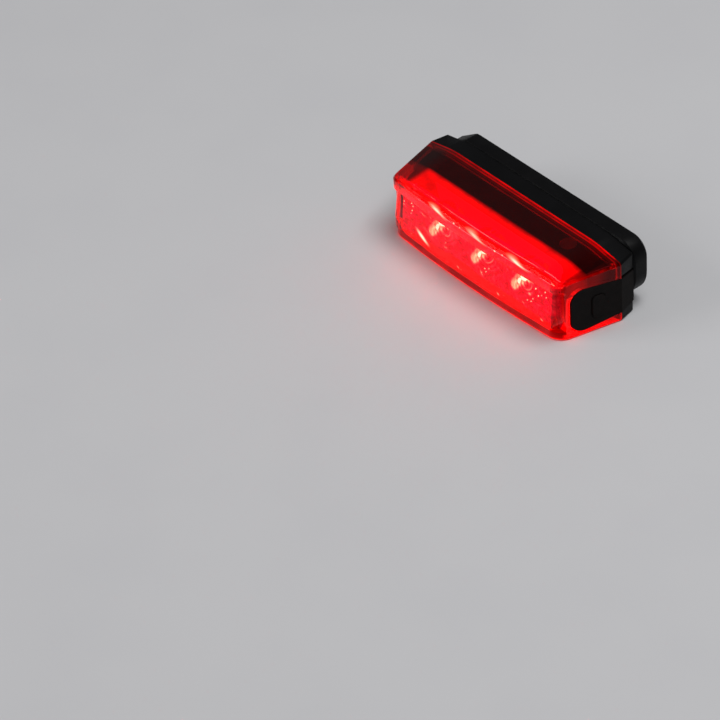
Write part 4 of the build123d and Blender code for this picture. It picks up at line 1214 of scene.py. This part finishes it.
@dataclass
class Mount:
    """Seat-post mount: plate with its saddle, and the rubber pad with grip ribs."""

    frame: dict[str, Any]
    axis: float = 25.1
    radius: float = 13.6
    half_angle: float = 54.0
    bottom: float = -7.0
    top: float = -0.4
    ribs: int = 5
    sunk: float = 0.05
    rise: float = 0.3
    half_width: float = 0.35

    def grip_ribs(self) -> Object:
        """Half-round ribs in the hollow, each a rounded profile carried along the arc.

        Around the post's axis the radius is that of the post and of the sunk edge, less the rise
        times sin(t)^0.5 for t from 0 to pi across the rib. Both ends taper to nothing, by
        (1 - s^12)^0.5 for s from -1 to 1 along it.

        Returns:
            The piece.
        """
        along, across = 61, 9
        turn = np.radians(np.linspace(-self.half_angle, self.half_angle, along))
        t = np.linspace(0, np.pi, across)
        taper = np.sqrt(np.clip(1 - np.linspace(-1, 1, along) ** 12, 0, None))[:, None]
        parts, faces = [], []
        for i, middle in enumerate(np.linspace(self.bottom, self.top, self.ribs)):
            radius = self.radius + self.sunk - self.rise * taper * np.sqrt(np.sin(t).clip(0))
            height = middle - self.half_width * np.cos(t) * taper
            x = radius * np.sin(turn)[:, None]
            y = self.axis - radius * np.cos(turn)[:, None]
            parts.append(np.stack([x, y, height], axis=-1).reshape(-1, 3))
            faces.append(grid_faces(along, across, wrap=True) + i * along * across)
        return make_piece("grip_ribs", np.concatenate(parts), np.concatenate(faces), 40.0)

    def build(self) -> None:
        """Builds and dresses the mount."""
        # Glass-filled nylon, moulded: black with a faint mottle of fibres
        nylon = Finish(
            "glass_filled_nylon_moulded", "060607", "101011", cloud=3.0, grain=0.4, depth=0.012,
            roughness=0.45, specular=0.1, stretch=(0.5, 1.0, 1.0),
        ).build()
        # Rubber, moulded: dull black with a dry bloom
        rubber = Finish(
            "rubber_moulded_bloomed", "161616", "333231", cloud=2.5, grain=0.25, depth=0.015,
            roughness=0.78, specular=0.35, sheen=0.1,
        ).build()
        plate = moulded_copy(self.frame, "mount_plate", "mount_plate_body", radius=0.4, segments=3)
        finish(plate, nylon, Body.LIGHT, "plate, saddle and strap hooks")
        pad = moulded_copy(self.frame, "saddle_pad", "saddle_pad_skin", radius=0.15)
        finish(pad, rubber, Body.LIGHT, "rubber lining of the hollow")
        finish(self.grip_ribs(), rubber, Body.LIGHT, "ribs that grip the post")


@dataclass
class Studio:
    """Pale floor, soft lamps and the camera that matches the photograph.

    The camera's angles are degrees and its distances millimetres, the floor's lengths metres.
    """

    azimuth: float = 52.224
    elevation: float = 39.54
    roll: float = -3.955
    distance: float = 1030.0
    shift_right: float = 43.804
    shift_up: float = 35.039
    focal_pixels: float = 3873.56
    frame_pixels: float = 720.0
    flat_radius: float = 1.8
    slope: float = 1.4
    slope_height: float = 0.9

    def camera(self) -> None:
        """Places the camera so that a drawn point lands on its pixel of the photograph."""
        azimuth, elevation, roll = map(math.radians, (self.azimuth, self.elevation, self.roll))
        flat = math.cos(elevation)
        back = np.array([math.sin(azimuth) * flat, -math.cos(azimuth) * flat, math.sin(elevation)])
        right = np.array([math.cos(azimuth), math.sin(azimuth), 0.0])
        up = np.cross(back, right)
        rolled_right = math.cos(roll) * right + math.sin(roll) * up
        rolled_up = math.cos(roll) * up - math.sin(roll) * right
        place = metres(
            self.distance * back - self.shift_right * rolled_right - self.shift_up * rolled_up
        )
        data = bpy.data.cameras.new("camera")
        data.sensor_width = 36.0
        data.lens = self.focal_pixels / self.frame_pixels * data.sensor_width
        data.clip_start, data.clip_end = 0.05, 20.0
        camera = bpy.data.objects.new("camera", data)
        bpy.context.scene.collection.objects.link(camera)
        matrix = np.eye(4)
        matrix[:3] = np.stack([rolled_right, rolled_up, back, place], axis=1)
        camera.matrix_world = Matrix(matrix.tolist())
        bpy.context.scene.camera = camera

    def lamp(self, name: str, place: Sequence[float], size: float, watts: float) -> None:
        """Adds one soft square lamp aimed at the light.

        Args:
            name: Lamp's name.
            place: Where it stands, in metres.
            size: Side of the square in metres.
            watts: Power.
        """
        data = bpy.data.lights.new(name, "AREA")
        data.size, data.energy = size, watts
        lamp = bpy.data.objects.new(name, data)
        bpy.context.scene.collection.objects.link(lamp)
        aim = np.array([0.0, 0.0, 0.01]) - np.array(place)
        lamp.location = place
        lamp.rotation_euler = (
            math.acos(-aim[2] / np.linalg.norm(aim)), 0.0, math.atan2(-aim[0], aim[1])
        )

    def floor(self) -> None:
        """Lays the pale floor: a round sheet, flat at first, that curves up far away as a backdrop.

        Past the flat part the height grows with the square of the distance from its edge.
        """
        rising = np.linspace(self.flat_radius, self.flat_radius + self.slope, 15)
        radius = np.concatenate([[0.0, 0.3, 0.8, 1.4], rising])[:, None]
        sectors = 64
        angle = np.linspace(0, 2 * np.pi, sectors, endpoint=False)
        share = np.clip((radius - self.flat_radius) / self.slope, 0, None) + 0 * angle
        height = self.slope_height * share**2
        points = np.stack([radius * np.cos(angle), radius * np.sin(angle), height], axis=-1)
        mesh = bpy.data.meshes.new("floor")
        faces = grid_faces(len(radius), sectors, wrap=True)
        mesh.from_pydata(points.reshape(-1, 3).tolist(), [], faces.tolist())
        mesh.shade_smooth()
        floor = bpy.data.objects.new("floor", mesh)
        bpy.context.scene.collection.objects.link(floor)
        # Matt paper: even pale grey with a trace of fibre
        paper = Finish(
            "matt_paper", "c9c9cb", "c4c4c7", cloud=40.0, grain=1.2, depth=0.01, roughness=0.9,
            spread=0.03, specular=0.2,
        ).build()
        mesh.materials.append(paper)

    def world(self) -> None:
        """Gives a dim even surround."""
        world = bpy.data.worlds.new("studio")
        world.use_nodes = True
        sky = world.node_tree.nodes["Background"]
        sky.inputs["Color"].default_value = linear("e6e6e8")
        sky.inputs["Strength"].default_value = 0.22
        bpy.context.scene.world = world

    def build(self) -> None:
        """Builds the whole studio."""
        self.floor()
        self.world()
        self.lamp("key", (0.25, 0.15, 1.0), 0.55, 7.0)
        self.lamp("fill", (-0.55, -0.85, 0.55), 0.5, 3.0)
        self.camera()
        bpy.context.scene.view_settings.view_transform = "Standard"
        LOG.info("studio: floor, two lamps and the camera")


def main() -> None:
    """Loads the frame, dresses it and reports each piece."""
    logging.basicConfig(level=logging.INFO, format="%(message)s")
    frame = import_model()
    Studio().build()
    LensAssembly(frame).build()
    Electronics(frame).build()
    Housing(frame).build()
    Mount(frame).build()


if __name__ == "__main__":
    main()
